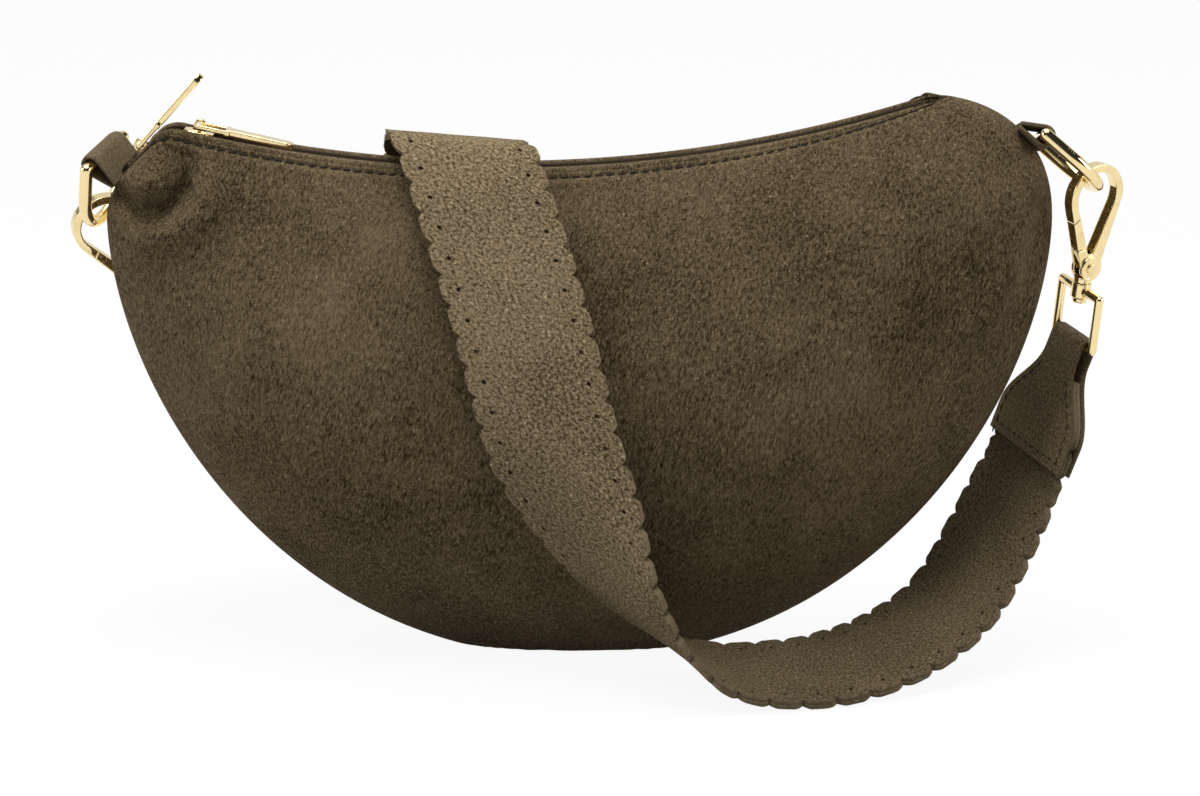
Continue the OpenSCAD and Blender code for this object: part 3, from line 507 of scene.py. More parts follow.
def suede_material(name, deep, body, tip, fibre, contrast, tips,
                   on_run=False, bump=0.0003, lean=0.0, marks=0.7, speck=900.0):
    """Suede on the piece's own place, or on_run, along its length as its UV map has it."""
    material, tree, shader = new_material(name)
    place = put(tree, "ShaderNodeUVMap" if on_run else "ShaderNodeTexCoord").outputs
    nap = put(tree, "ShaderNodeGroup", {
        "Vector": place["UV" if on_run else "Object"], "Fibre Scale": fibre, "Lean": lean,
        "Deep": linear(deep), "Body": linear(body), "Tip": linear(tip), "Contrast": contrast,
        "Tips": tips, "Marks": marks, "Speck Scale": speck}, node_tree=NAP).outputs
    connect(tree, shader, {
        "Base Color": nap["Color"], "Roughness": nap["Roughness"], "Specular IOR Level": 0.04,
        "Sheen Weight": 0.06, "Sheen Roughness": 0.55, "Sheen Tint": (0.9, 0.78, 0.6, 1),
        "Normal": bumped(tree, nap["Height"], bump)})
    return material


def cloth_material(name, thread, gap, scale):
    material, tree, shader = new_material(name)
    weave = put(tree, "ShaderNodeGroup", {
        "Vector": put(tree, "ShaderNodeUVMap").outputs["UV"], "Thread Scale": scale,
        "Thread": linear(thread), "Gap": linear(gap)}, node_tree=WEAVE).outputs
    connect(tree, shader, {"Base Color": weave["Color"], "Roughness": 0.85,
                           "Normal": bumped(tree, weave["Height"], 0.0002)})
    return material


def metal_material(name, bright, dull, smooth, rough):
    material, tree, shader = new_material(name)
    wear = put(tree, "ShaderNodeGroup", {
        "Vector": put(tree, "ShaderNodeTexCoord").outputs["Object"], "Bright": (*bright, 1),
        "Dull": (*dull, 1), "Smooth": smooth, "Rough": rough}, node_tree=WEAR).outputs
    rounded = first(tree, "ShaderNodeBevel", {"Radius": 0.0008}, samples=8)
    connect(tree, shader, {"Base Color": wear["Color"], "Roughness": wear["Roughness"],
                           "Metallic": 1.0,
                           "Normal": bumped(tree, wear["Height"], 0.00001, rounded)})
    return material


# The record's material slots by name, and finishes of this script's own. Each suede has the
# colours of its pits, its body and its pale tips, and its fibres per metre each way.
MAT = {
    "suede": suede_material(
        "taupe suede", (42, 30, 14), (136, 118, 90), (178, 160, 126), (1350, 1350, 500),
        contrast=2.5, tips=0.8, lean=-0.22, marks=0.85, speck=1300.0),
    "tab suede": suede_material(
        "tab suede", (74, 63, 45), (132, 116, 92), (166, 152, 124), (1400, 1400, 700),
        contrast=1.8, tips=0.5, marks=0.5),
    "strap_suede": suede_material(
        "strap suede", (62, 47, 26), (186, 165, 129), (234, 216, 174), (950, 950, 950),
        contrast=3.3, tips=1.0, on_run=True, bump=0.0012, marks=0.6, speck=850.0),
    # The backing's suede is darker than the face's. This is partly its own colour and partly
    # painted shade for the strap's hanging loop, where this face shows in shadow.
    "backing suede with painted shade": suede_material(
        "darker backing suede with painted shade", (40, 30, 16), (128, 112, 86), (170, 152, 118), (1000, 1000, 1000),
        contrast=2.8, tips=0.8, on_run=True, bump=0.0004, marks=0.5, speck=1200.0),
    "end suede": suede_material(
        "end piece suede", (54, 42, 25), (146, 128, 99), (172, 154, 120), (1000, 1000, 1000),
        contrast=2.5, tips=0.7, on_run=True, bump=0.0004, marks=0.9, speck=1200.0),
    "edge": suede_material(
        "cut suede edge", (88, 76, 57), (142, 126, 100), (182, 166, 134), (1200, 1200, 1200),
        contrast=1.2, tips=0.5),
    "lining_cloth": cloth_material("cotton lining", (176, 162, 136), (120, 108, 88), 5200.0),
    "zip_tape": cloth_material("zip tape", (112, 94, 72), (60, 48, 34), 4600.0),
    "thread": cloth_material("sewing thread", (74, 60, 42), (38, 29, 18), 9000.0),
    "gold": metal_material("pale gold plate", (0.9, 0.73, 0.4), (0.76, 0.58, 0.29), 0.04, 0.14),
    "zip_teeth": metal_material("brown coated teeth", (0.2, 0.13, 0.07), (0.1, 0.06, 0.035),
                                0.25, 0.5),
    "spring_wire": metal_material("spring wire", (0.75, 0.75, 0.74), (0.5, 0.5, 0.5), 0.12, 0.3),
}

# Camera, floor and lamps
PHOTO_W = 1200
PHOTO_FOCAL = 3450  # focal length in the photograph's pixels
SENSOR_W = 36
CAMERA_PITCH = math.radians(14)
CAMERA_DISTANCE = 1150.0
CAMERA_TARGET = np.array([6.7, 0.0, 85.0])
FLOOR_REACH = 6  # in metres
WHITE = (1, 1, 1, 1)
LAMP_AIM = Vector((0.0, 0.0, 0.09))
LAMPS = [("top", (-0.05, -0.2, 1.4), 11.0, 0.7), ("left", (-1.2, -0.4, 0.7), 4.5, 0.6),
         ("right", (1.2, -0.3, 0.6), 3.5, 0.6), ("front", (-0.3, -1.6, 0.5), 0.3, 0.9)]


def facing(way):
    """The turn that points a camera or a lamp along a way."""
    return Vector(way).to_track_quat("-Z", "Y").to_euler()


def make_camera():
    look = np.array([0.0, math.cos(CAMERA_PITCH), -math.sin(CAMERA_PITCH)])
    data = bpy.data.cameras.new("camera")
    data.sensor_width = SENSOR_W
    data.lens = PHOTO_FOCAL / PHOTO_W * SENSOR_W
    data.clip_start, data.clip_end = 0.05, 30
    camera = new_object("camera", data)
    camera.location = (CAMERA_TARGET - look * CAMERA_DISTANCE) * MM
    camera.rotation_euler = facing(look)
    bpy.context.scene.camera = camera


def make_floor():
    """A floor that keeps the bag's shadow and is white to the eye, in metal and in glass."""
    mesh = bpy.data.meshes.new("floor")
    r = FLOOR_REACH
    mesh.from_pydata([(-r, -r, 0), (r, -r, 0), (r, r, 0), (-r, r, 0)], [], [(0, 1, 2, 3)])
    material, tree, _ = new_material("white floor")
    tree.nodes.clear()
    paths = put(tree, "ShaderNodeLightPath").outputs
    mirrored = most(tree, paths["Is Glossy Ray"], paths["Is Transmission Ray"])
    seen = most(tree, paths["Is Camera Ray"], mirrored)
    shade = mix_colour(tree, seen, (0.42, 0.42, 0.42, 1), (0.95, 0.95, 0.95, 1))
    diffuse = first(tree, "ShaderNodeBsdfDiffuse", {"Color": shade})
    glow = first(tree, "ShaderNodeEmission", {"Color": WHITE, "Strength": 1.0})
    both = first(tree, "ShaderNodeMixShader", {0: times(tree, seen, 0.92), 1: diffuse, 2: glow})
    put(tree, "ShaderNodeOutputMaterial", {"Surface": both})
    mesh.materials.append(material)
    new_object("floor", mesh)


def make_world():
    """White for the eye, a soft room for cloth, and a dark room with bright panels for metal."""
    world = bpy.data.worlds.new("studio")
    bpy.context.scene.world = world
    world.use_nodes = True
    tree = world.node_tree
    tree.nodes.clear()
    paths = put(tree, "ShaderNodeLightPath").outputs
    place = put(tree, "ShaderNodeTexCoord").outputs["Generated"]
    x, y, z = put(tree, "ShaderNodeSeparateXYZ", {0: place}).outputs
    back = mix_value(tree, ramp(tree, y, -0.1, 0.4), 0.04, 0.7)
    room = plus(tree, back, times(tree, ramp(tree, z, 0.1, 0.9), 0.35))
    beside = ramp(tree, math_node(tree, "ABSOLUTE", x), 0.8, 0.84)
    above = times(tree, ramp(tree, z, 0.8, 0.84), 1.8)
    behind = times(tree, ramp(tree, y, 0.5, 0.62), 0.8)
    panels = most(tree, most(tree, beside, above), most(tree, behind, 0.03))
    lit = first(tree, "ShaderNodeMix", {0: paths["Is Glossy Ray"], 2: room, 3: panels},
                data_type="FLOAT")
    level = most(tree, lit, paths["Is Camera Ray"])
    surface = first(tree, "ShaderNodeBackground", {"Color": WHITE, "Strength": level})
    put(tree, "ShaderNodeOutputWorld", {"Surface": surface})


def make_lamp(name, place, power, size):
    data = bpy.data.lights.new(name, "AREA")
    data.shape, data.size, data.energy = "SQUARE", size, power
    lamp = new_object(name, data)
    lamp.location = place
    lamp.rotation_euler = facing(LAMP_AIM - Vector(place))


# Soft forms of the suede: lines of places [x, z], and for each half their height and width
CREASE = np.array([(-131.5, 172.5), (-126.9, 166.0), (-127.9, 158.2), (-134.2, 151.6),
                   (-143.4, 151.0), (-149.5, 156.0)])
RIDGE = np.array([(-119.0, 163.0), (-121.5, 153.0), (-130.1, 145.0), (-142.0, 141.5)])
LOBE = np.array([(-139.5, 163.5)])
PLEAT = np.array([(147.5, 160.0), (142.5, 138.0), (134.0, 116.0)])
PLEAT_DIP = np.array([(151.0, 150.0), (149.5, 132.0), (144.0, 112.0)])
FRONT, BACK = -1, 1
FORMS = {
    FRONT: [(CREASE, -6.0, 3.8), (LOBE, 6.5, 9.5), (RIDGE, 3.4, 6.0), (PLEAT, 3.4, 5.5),
            (PLEAT_DIP, -3.6, 4.6)],
    BACK: [(CREASE + [2, -3], -3.5, 7.5), (RIDGE, 1.2, 8.0), (PLEAT, 1.4, 8.0)],
}
PANEL_COLUMNS, PANEL_ROWS = 300, 104


def gap_to(xz, line):
    """Distance from each place to a line of places, or to a single one."""
    best = np.linalg.norm(xz - line[0], axis=-1)
    for a, b in zip(line[:-1], line[1:]):
        share = np.clip(((xz - a) @ (b - a)) / ((b - a) @ (b - a)), 0, 1)
        best = np.minimum(best, np.linalg.norm(xz - (a + share[..., None] * (b - a)), axis=-1))
    return best


def relief(xz, side):
    """How far the suede stands out of its plain form."""
    out = 1.1 * lumps(xz, side * 50, 62, 1 + side) + 0.4 * lumps(xz, side * 90, 24, 3 + side)
    for line, height, width in FORMS[side]:
        out = out + height * bell(gap_to(xz, line), width)
    return out


def outer_rows(us, side, rim, reach, down):
    """The outside from seam to rim, and how far each point lies below the rim."""
    reach, down = reach[:, None], down[:, None]
    drop = mix(reach, SUEDE_T, eased(PANEL_ROWS)[None, :])
    v = 1 - drop / reach
    xz = rim[:, None] + drop[..., None] * down
    y = face_depth(fullness(us)[:, None], v)
    # The forms fade out towards rim and seam, and leave room for the layers inside
    calm = np.clip((drop - 4.5) / 14, 0, 1) * np.clip(reach - drop, 0, 9) / 9
    y = np.maximum(y + calm * relief(xz, side), np.minimum(y, 2.0))
    hugging = np.clip(1 - np.abs(y) / 1.6, 0, 1) ** 2
    # The stitches below the rim pull a groove, and the suede swells on both sides of it
    groove = 0.75 * bell(drop - STITCH_DROP, 0.8) * (v > 0.02)
    y = y - groove + 0.3 * bell(drop - 1.8, 0.8) + 0.2 * bell(drop - 5.0, 1.2)
    pull = np.sin(us * SEAM_RUN[-1] / 2.2)[:, None]
    y = y + 0.22 * pull * bell(reach - drop - 5, 5) * calm
    y = mix(y, RIM_Y + 0.35, bell(drop - SUEDE_T, 1.0))
    # By the seam the outline draws in, to stay inside the solids'
    xz = xz - hugging[..., None] * 0.9 * down
    return in_space(xz, -y, 0), drop


def rolled_rim(rim, down):
    """The round edge of the rim, from the outside over the top to its fold."""
    plump = 0.17
    mid_y = RIM_Y - SUEDE_T + plump
    rows = []
    for a in np.linspace(0, math.pi, 9)[1:]:
        at = rim + (SUEDE_T - SUEDE_T * math.sin(a)) * down
        rows.append(in_space(at, -(mid_y + (SUEDE_T + plump) * math.cos(a))))
    return rows


def inner_rows(outer, drop, rim, reach, down):
    """The rim's fold and the inside, from the rim back to the seam."""
    flap = np.minimum(RIM_FOLD, 0.42 * reach)
    rows = []
    for share in (0.5, 1.0):
        at = rim + mix(SUEDE_T, flap, share)[:, None] * down
        rows.append(in_space(at, -(RIM_GAP / 2 + 0.02)))
    out = np.cross(np.gradient(outer, axis=0), np.gradient(outer, axis=1))
    out = -unit(out) * np.sign(np.median(out[..., 1]))
    for j in range(PANEL_ROWS - 12, 4, -5):
        sunk = outer[:, j] - out[:, j] * SUEDE_T
        behind_fold = drop[:, j] / flap < 1
        sunk[:, 1] = np.minimum(sunk[:, 1], np.where(behind_fold, -RIM_GAP / 2 - 0.1, -0.05))
        sunk[:, 2] = np.maximum(sunk[:, 2], SUEDE_T)
        rows.append(sunk)
    edge = rim + (reach - np.minimum(SUEDE_T, reach / 4))[:, None] * down
    return [*rows, in_space(edge, -0.02, SUEDE_T)]


def closing(share):
    """Behind the zip the halves meet: how far along to the seam's end, and how far shut."""
    return CLOSE_REACH * share, CLOSE_SHUT * share * share * (3 - 2 * share)


def closing_columns(last, end):
    """Columns that draw the open end of a half to the seam's end."""
    columns = []
    for share in CLOSE_SHARES:
        on, shut = closing(share)
        column = last.copy()
        column[:, [0, 2]] = mix(last[:, [0, 2]], end, on)
        column[:, 1] = last[:, 1] * (1 - shut)
        columns.append(column)
    return np.array(columns)


def make_panel(name, side, node):
    """One half of the bag as a closed tube with its rolled rim, fold and inside."""
    us = np.linspace(0, 1, PANEL_COLUMNS)
    rim, reach, down = rays(us)
    outer, drop = outer_rows(us, side, rim, reach, down)
    rows = rolled_rim(rim, down) + inner_rows(outer, drop, rim, reach, down)
    half = np.concatenate([outer, np.stack(rows, 1)], axis=1)
    if side == BACK:
        half[..., 1] *= -1
    points, faces = tube(np.concatenate([half, closing_columns(half[-1], seam(1.0))]))
    belongs(make_piece(name, points, faces, [MAT["suede"]]), node)


# Zip tapes and lining
def make_tape(name, side, node):
    """A woven tape: its edge at the chain, a bend, and a leg that hangs along the rim's fold."""
    steps = 260
    s = np.concatenate([np.linspace(0, PATH_LEN, steps), np.full(len(CLOSE_SHARES), PATH_LEN)])
    on, shut = closing(np.concatenate([np.zeros(steps), CLOSE_SHARES]))
    beyond = on[:, None] * (seam(1.0) - ZIP_RIGHT)
    chain_d, side_y = CHAIN_DEPTH - TAPE_T / 2, RIM_GAP / 2 - LAY_GAP
    under_d, back_y = chain_d + TAPE_T, side_y - TAPE_T
    # Depth below the rims, distance from the middle, and how far round the tape the corner lies
    corners = [(chain_d, TAPE_EDGE, 0), (chain_d, TAPE_BEND_Y, 1.7), (chain_d, back_y, 3.8),
               (TAPE_TOP_D, back_y, 5.6), (TAPE_TOP_D, side_y, 6), (TAPE_MID_D, side_y, 9),
               (TAPE_LOW_D, side_y, 13), (TAPE_LOW_D, back_y, 13.5), (TAPE_MID_D, back_y, 17),
               (under_d, back_y, 19), (under_d, TAPE_BEND_Y, 21), (under_d, TAPE_EDGE, 23)]
    rings = [in_space(zip_point(s, d) + beyond, side * y * (1 - shut)) for d, y, _ in corners]
    points, faces = tube(np.stack(rings, 1))
    uv = [(run, round_at) for run in s + np.linalg.norm(beyond, axis=1)
          for _, _, round_at in corners]
    belongs(make_piece(name, points, faces, [MAT["zip_tape"]], uv=uv, sharp=0.7), node)


def make_lining(name, side, node):
    """A wrinkled cotton lining inside one half, from below the rim's fold to the seam."""
    us = np.linspace(0.06, 0.94, 150)
    rim, reach, down = rays(us)
    low = reach - np.minimum(LINING_SEAM_IN, reach / 3)
    drop = mix(low[:, None], RIM_FOLD + LAY_GAP, eased(36)[None, :])
    v = 1 - drop / reach[:, None]
    xz = rim[:, None] + drop[..., None] * down[:, None]
    y = face_depth(fullness(us)[:, None], v) - SUEDE_T - LINING_IN
    wrinkle = np.abs(1.6 * lumps(xz, side * 20, 16, 9))
    dips = 1.8 * np.maximum(-relief(xz, side), 0)
    y = np.maximum(y - wrinkle - dips, 0.6)
    outer = in_space(xz, side * y, SUEDE_T + 2.2)
    inner = outer - np.array([0, side * LINING_T, 0])
    points, faces = tube(np.concatenate([outer, inner[:, ::-1]], axis=1))
    flat = np.stack([xz[..., 0], drop], -1)
    uv = np.concatenate([flat, flat[:, ::-1]], axis=1).reshape(-1, 2)
    belongs(make_piece(name, points, faces, [MAT["lining_cloth"]], uv=uv), node)


# Places of the rings, hooks and loops
def chain(root, tab_l, tab_way, bar, ring_way, hook_up, hook_face, loop_across, strap_way):
    """Where a ring's bar and a loop's bar lie, and how, from a tab's foot down to the strap."""
    ring_at = np.array([root[0], 0, root[1]]) + unit(tab_way) * tab_l
    bar, up = unit(bar), unit(hook_up)
    face = upright(hook_face, up)
    foot = ring_at + RING_DROP * upright(unit(ring_way), bar) - SEAT_Z * up
    foot = foot - SEAT_X * np.cross(face, up)
    across = upright(loop_across, up)
    return {"tab_l": tab_l, "to_bar": upright(tab_way, bar), "ring": ring_at, "bar": bar,
            "loop": foot - LOOP_DROP * up, "across": across, "down": upright(strap_way, across)}


RIGHT = chain(
    right_shoulder(math.radians(45.5)), tab_l=8.4, tab_way=(0.9, 0, -0.43), bar=(0, 0.97, -0.24),
    ring_way=(0.755, -0.16, -0.636), hook_up=(0.08, -0.129, 0.99), hook_face=(-0.57, 0.82, 0.15),
    loop_across=(0.4, -0.9, -0.12), strap_way=(-0.33, 0, -0.94))
LEFT = chain(
    seam(0.0), tab_l=9.7, tab_way=(-0.72, 0.15, 0.66), bar=(0.34, 0.9, 0.27),
    ring_way=(-0.1, 0.36, -0.93), hook_up=(-0.35, -0.42, 0.84), hook_face=(-0.35, 0.84, 0.25),
    loop_across=(0.2, 0.95, 0.4), strap_way=(0.5, 0.2, -0.84))

# The strap's course from the right end to the left, in shares of the bag's half width, half
# depth and the height of the zip's lowest place, and the way across the strap at each station
ROUTE = np.array([
    [0.810, -0.48, 0.139], [0.675, -0.907, 0.064], [0.527, -1.253, 0.037], [0.399, -1.413, 0.037],
    [0.296, -1.44, 0.05], [0.206, -1.4, 0.087], [0.125, -1.42, 0.16], [0.054, -1.4, 0.257],
    [-0.006, -1.35, 0.378], [-0.055, -1.25, 0.5], [-0.122, -0.95, 0.732], [-0.193, -0.56, 0.933],
    [-0.235, -0.235, 1.033], [-0.257, 0, 1.048], [-0.272, 0.235, 1.035], [-0.285, 0.56, 0.939],
    [-0.293, 0.987, 0.744], [-0.283, 1.28, 0.573], [-0.277, 1.467, 0.415], [-0.296, 1.6, 0.28],
    [-0.354, 1.653, 0.177], [-0.444, 1.6, 0.125], [-0.54, 1.507, 0.14], [-0.63, 1.387, 0.201]])
ACROSS = np.array([
    [0.5, -0.86, -0.08], [0.42, -0.89, -0.15], [0.2, -0.96, -0.19], [0.08, -0.98, -0.15],
    [0.1, -0.99, -0.05], [0.25, -0.95, 0.08], [0.48, -0.87, 0.08], [0.68, -0.73, 0.05],
    [0.88, -0.45, 0.02], [0.97, -0.2, 0], [1, 0, 0], [1, 0, -0.05], [1, 0, -0.08], [1, 0, -0.08],
    [1, 0, -0.08], [1, 0, -0.04], [0.98, -0.18, 0], [0.9, -0.42, 0], [0.72, -0.69, 0],
    [0.45, -0.89, 0.05], [0.15, -0.98, 0.1], [-0.05, -0.99, 0.1], [-0.1, -0.97, -0.15],
    [-0.12, -0.94, -0.3]])
END_SHARES = np.array([0, 0.5, 1, 1.35])  # stations along an end piece and just past it


def end_line(c):
    return c["loop"] + c["down"] * mix(STRAP_START, END_L + SUEDE_T, END_SHARES)[:, None]


def spline_through(p, steps=6):
    """A smooth line through stations, with some steps between each two."""
    out = []
    for i in range(len(p) - 1):
        a, b, c, d = p[max(i - 1, 0)], p[i], p[i + 1], p[min(i + 2, len(p) - 1)]
        for k in range(steps):
            f = k / steps
            out.append(0.5 * (2 * b + (c - a) * f + (2 * a - 5 * b + 4 * c - d) * f * f
                              + (3 * b - a - 3 * c + d) * f**3))
    return np.array(out + [p[-1]])


MIDDLE = spline_through(np.concatenate([
    end_line(RIGHT), ROUTE * [HALF_W, HALF_DEPTH, ZIP_LOW_Z], end_line(LEFT)[::-1]]))
CROSSWISE = spline_through(np.concatenate([
    np.tile(RIGHT["across"], (4, 1)), ACROSS, np.tile(-LEFT["across"], (4, 1))]))
MIDDLE_RUN = run_of(MIDDLE)
STRAP_L = MIDDLE_RUN[-1]
SCALLOPS = round(STRAP_L / SCALLOP_L)
PITCH = STRAP_L / SCALLOPS
COVERED = END_L - STRAP_START  # how much of the strap an end piece covers


def seek(table, s):
    return np.stack([np.interp(s, MIDDLE_RUN, table[:, k]) for k in range(3)], -1)


def strap_frame(s):
    """Middle, way across and way out of the strap, s along it."""
    step = PITCH / 4
    ahead, before = np.minimum(STRAP_L, s + step), np.maximum(0, s - step)
    way = unit(seek(MIDDLE, ahead) - seek(MIDDLE, before))
    raw = unit(seek(CROSSWISE, s))
    lean = np.sum(raw * way, -1, keepdims=True)
    across = raw / np.sqrt(np.maximum(0.2, 1 - lean * lean))
    return seek(MIDDLE, s), across, unit(np.cross(raw, way))


def strap_place(s, w, offset):
    """The point s along the strap, w across it and an offset out of it."""
    mid, across, face = strap_frame(s)
    return mid + across * np.asarray(w)[..., None] + face * np.asarray(offset)[..., None]


def end_half(a):
    """Half the width of an end piece, a from its loop: a neck that flares out to the strap."""
    share = np.clip((a - FLARE_FROM) / (FLARE_TO - FLARE_FROM), 0, 1)
    return mix(NECK_W, STRAP_W, np.sin(0.5 * math.pi * share) ** 2) / 2


def strap_half(s):
    """Half the width of the strap with its scallops, narrower inside the end pieces."""
    across = (2 * ((s / PITCH) % 1) - 1) * PITCH / 2
    r = (PITCH**2 / 4 + SCALLOP_D**2) / (2 * SCALLOP_D)
    lobe = STRAP_W / 2 - r + np.sqrt(r * r - across**2)
    from_end = np.minimum(s, STRAP_L - s) + STRAP_START
    return np.minimum(lobe, end_half(from_end) - 0.6)


def hole_centres():
    """A punched hole inside each scallop between the end pieces, as places [run, width]."""
    runs = [(k + 0.5) * PITCH for k in range(SCALLOPS)]
    clear = COVERED + 4
    return np.array([(s, side * (STRAP_W / 2 - HOLE_IN)) for s in runs
                     if clear < s < STRAP_L - clear for side in (1, -1)])


def strap_plan(trim):
    """Flat triangles of one layer, in run and width: scallops, punched holes and inner points."""
    run = np.linspace(0, STRAP_L, SCALLOPS * 12 + 1)
    half = strap_half(run) - trim
    if trim > 0:
        half = half + [0.3 * noise.noise(Vector((s / 5.0, 9.0, 0.0))) for s in run]
    outline = np.concatenate([np.stack([run, half], -1), np.stack([run, -half], -1)[::-1]])
    points, edges = [*outline], [(k, (k + 1) % len(outline)) for k in range(len(outline))]
    centres = hole_centres()
    for centre in centres:
        start = len(points)
        for k in range(HOLE_CORNERS):
            points.append(centre + HOLE_R * tangent(math.tau * k / HOLE_CORNERS))
            edges.append((start + k, start + (k + 1) % HOLE_CORNERS))
    for s in np.arange(1.3, STRAP_L - 1, 2.6):
        for w in np.linspace(-1, 1, 17) * (np.interp(s, run, half) - 1.1):
            if np.min(np.linalg.norm(centres - [s, w], axis=1)) > HOLE_R + 0.5:
                points.append(np.array([s, w]))
    made = delaunay_2d_cdt([Vector(p) for p in points], edges, [], 0, 1e-4)
    flat = np.array([tuple(v) for v in made[0]])
    keep = []
    for tri in made[2]:
        mid = flat[list(tri)].mean(0)
        in_hole = np.min(np.linalg.norm(centres - mid, axis=1)) <= HOLE_R * 0.9
        if abs(mid[1]) < np.interp(mid[0], run, half) and not in_hole:
            keep.append(tuple(tri))
    return flat, keep


def make_strap_layer(name, low, high, trim, material, node):
    """One layer of the strap between two heights, with walls round its outline and holes."""
    flat, tris = strap_plan(trim)
    a, b, c = (flat[[t[k] for t in tris]] for k in range(3))
    turn = (b - a)[:, 0] * (c - a)[:, 1] - (b - a)[:, 1] * (c - a)[:, 0]
    tris = [t if up > 0 else (t[0], t[2], t[1]) for t, up in zip(tris, turn)]
    wave = 0.16 * lumps(flat, 0, 9, 5)
    points = np.concatenate([strap_place(*flat.T, high + wave), strap_place(*flat.T, low + wave)])
    n = len(flat)
    edges = dict.fromkeys((t[k], t[(k + 1) % 3]) for t in tris for k in range(3))
    walls = [(i, j) for i, j in edges if (j, i) not in edges]
    faces = tris + [(t[0] + n, t[2] + n, t[1] + n) for t in tris]
    faces += [(j, i, i + n, j + n) for i, j in walls]
    piece = make_piece(name, points, faces, [material, MAT["edge"]],
                       [0] * (2 * len(tris)) + [1] * len(walls),
                       uv=np.concatenate([flat, flat + [0, FACE_SHIFT]]), sharp=0.6)
    belongs(piece, node)


# Folded strips: ring tabs and strap ends
def hairpin(length, r, spread, steps=14):
    """Middle line of a strip folded round a bar: straight legs that touch the fold's round."""
    turn = math.pi - math.atan(spread / length) - math.acos(r / math.hypot(length, spread))
    touch = [length + r * math.cos(turn), -r * math.sin(turn)]
    low = np.linspace([0, -spread], touch, steps)
    a = np.linspace(-turn, turn, 21)[1:-1]
    bend = np.stack([length + r * np.cos(a), r * np.sin(a)], -1)
    return np.concatenate([low, bend, low[::-1] * [1, -1]])


def make_strip(name, line, half, origin, along, across, material, node, cross_steps=13):
    """A thick folded strip with thin edges; gives back what its stitches follow."""
    over = np.cross(along, across)
    grad = unit(np.gradient(line, axis=0))
    norm = np.stack([-grad[:, 1], grad[:, 0]], -1)
    run = run_of(line)
    shares = np.linspace(-1, 1, cross_steps)
    rings, uv = [], []
    for side, row, shift in ((-1, shares, 0), (1, shares[::-1], FACE_SHIFT)):
        for share in row:
            w = share * half
            thin = SUEDE_T / 2 * (1 if abs(share) < 0.99 else 0.55)
            q = line + norm * (side * thin)
            rings.append(origin + q[:, :1] * along + q[:, 1:] * over + w[:, None] * across)
            uv.append(np.stack([run, w + shift], -1))
    points, faces = tube(np.stack(rings, 1))
    uv = np.stack(uv, 1).reshape(-1, 2)
    belongs(make_piece(name, points, faces, [material], uv=uv, sharp=0.8), node)
    return line, norm, half, origin, along, over, across


def make_tab(name, c, node):
    line = hairpin(c["tab_l"], RING_WIRE_R + LAY_GAP + SUEDE_T / 2, SUEDE_T / 2)
    make_strip(name, line, np.full(len(line), TAB_W / 2), c["ring"] - c["tab_l"] * c["to_bar"],
               c["to_bar"], c["bar"], MAT["tab suede"], node)


def make_strap_end(name, c, node):
    spread = LAYER_T + SUEDE_T / 2 + LAY_GAP / 2
    line = hairpin(END_L, LOOP_WIRE_R + LAY_GAP + SUEDE_T / 2, spread, 26)
    return make_strip(name, line, end_half(END_L - line[:, 0]), c["loop"] + END_L * c["down"],
                      -c["down"], c["across"], MAT["end suede"], node, 17)


# Stitches and loose fibres
def spots_along(tree, lines, pitch):
    """Spots at even steps along lines of points."""
    curve = first(tree, "GeometryNodeMeshToCurve", {0: lines})
    evened = first(tree, "GeometryNodeResampleCurve", {"Curve": curve, "Length": pitch},
                   mode="LENGTH")
    return put(tree, "GeometryNodeCurveToPoints", {0: evened}, mode="EVALUATED").outputs


def stand_of(tree):
    """Each point's own way out of the surface."""
    return first(tree, "GeometryNodeInputNamedAttribute", {0: "stand"}, data_type="FLOAT_VECTOR")


ALIGN = "FunctionNodeAlignRotationToVector"


def chance(tree, seed, low, high):
    return put(tree, "FunctionNodeRandomValue", {"Seed": seed, 2: low, 3: high},
               data_type="FLOAT").outputs[1]


def vector_of(tree, parts):
    return first(tree, "ShaderNodeCombineXYZ", parts)


def plant(tree, spots, shape, aimed, turn, size, thread):
    """The shape on every spot, aimed and then turned, as real mesh with its material."""
    tilted = first(tree, "FunctionNodeRotateRotation", {0: aimed, 1: turn}, rotation_space="LOCAL")
    laid = first(tree, "GeometryNodeInstanceOnPoints", {
        "Points": spots, "Instance": shape, "Rotation": tilted, "Scale": size})
    real = first(tree, "GeometryNodeRealizeInstances", {0: laid})
    return first(tree, "GeometryNodeSetMaterial", {"Geometry": real, "Material": thread})


def stitch_tree():
    """Short rounded stitches along a line of points, each standing on the line's own normal."""
    tree, ins, out = group("row of stitches", [
        ("Geometry", "Geometry", None), ("Stitch Pitch", "Float", 0.0037),
        ("Stitch Length", "Float", 0.0027), ("Thread Width", "Float", 0.0006),
        ("Lean", "Float", 0.12), ("Thread", "Material", None)],
        [("Geometry", "Geometry")], "GeometryNodeTree")
    spots = spots_along(tree, ins["Geometry"], ins["Stitch Pitch"])
    ball = first(tree, "GeometryNodeMeshUVSphere", {"Segments": 8, "Rings": 6, "Radius": 0.5})
    along = first(tree, ALIGN, {"Vector": spots["Tangent"]}, axis="X")
    aimed = first(tree, ALIGN, {"Rotation": along, "Vector": stand_of(tree)},
                  axis="Z", pivot_axis="X")
    turn = vector_of(tree, {2: plus(tree, chance(tree, 4, -0.16, 0.16), ins["Lean"])})
    size = vector_of(tree, {0: ins["Stitch Length"], 1: ins["Thread Width"],
                            2: ins["Thread Width"]})
    sewn = plant(tree, spots["Points"], ball, aimed, turn, size, ins["Thread"])
    connect(tree, out, {"Geometry": first(tree, "GeometryNodeSetShadeSmooth", {0: sewn})})
    return tree


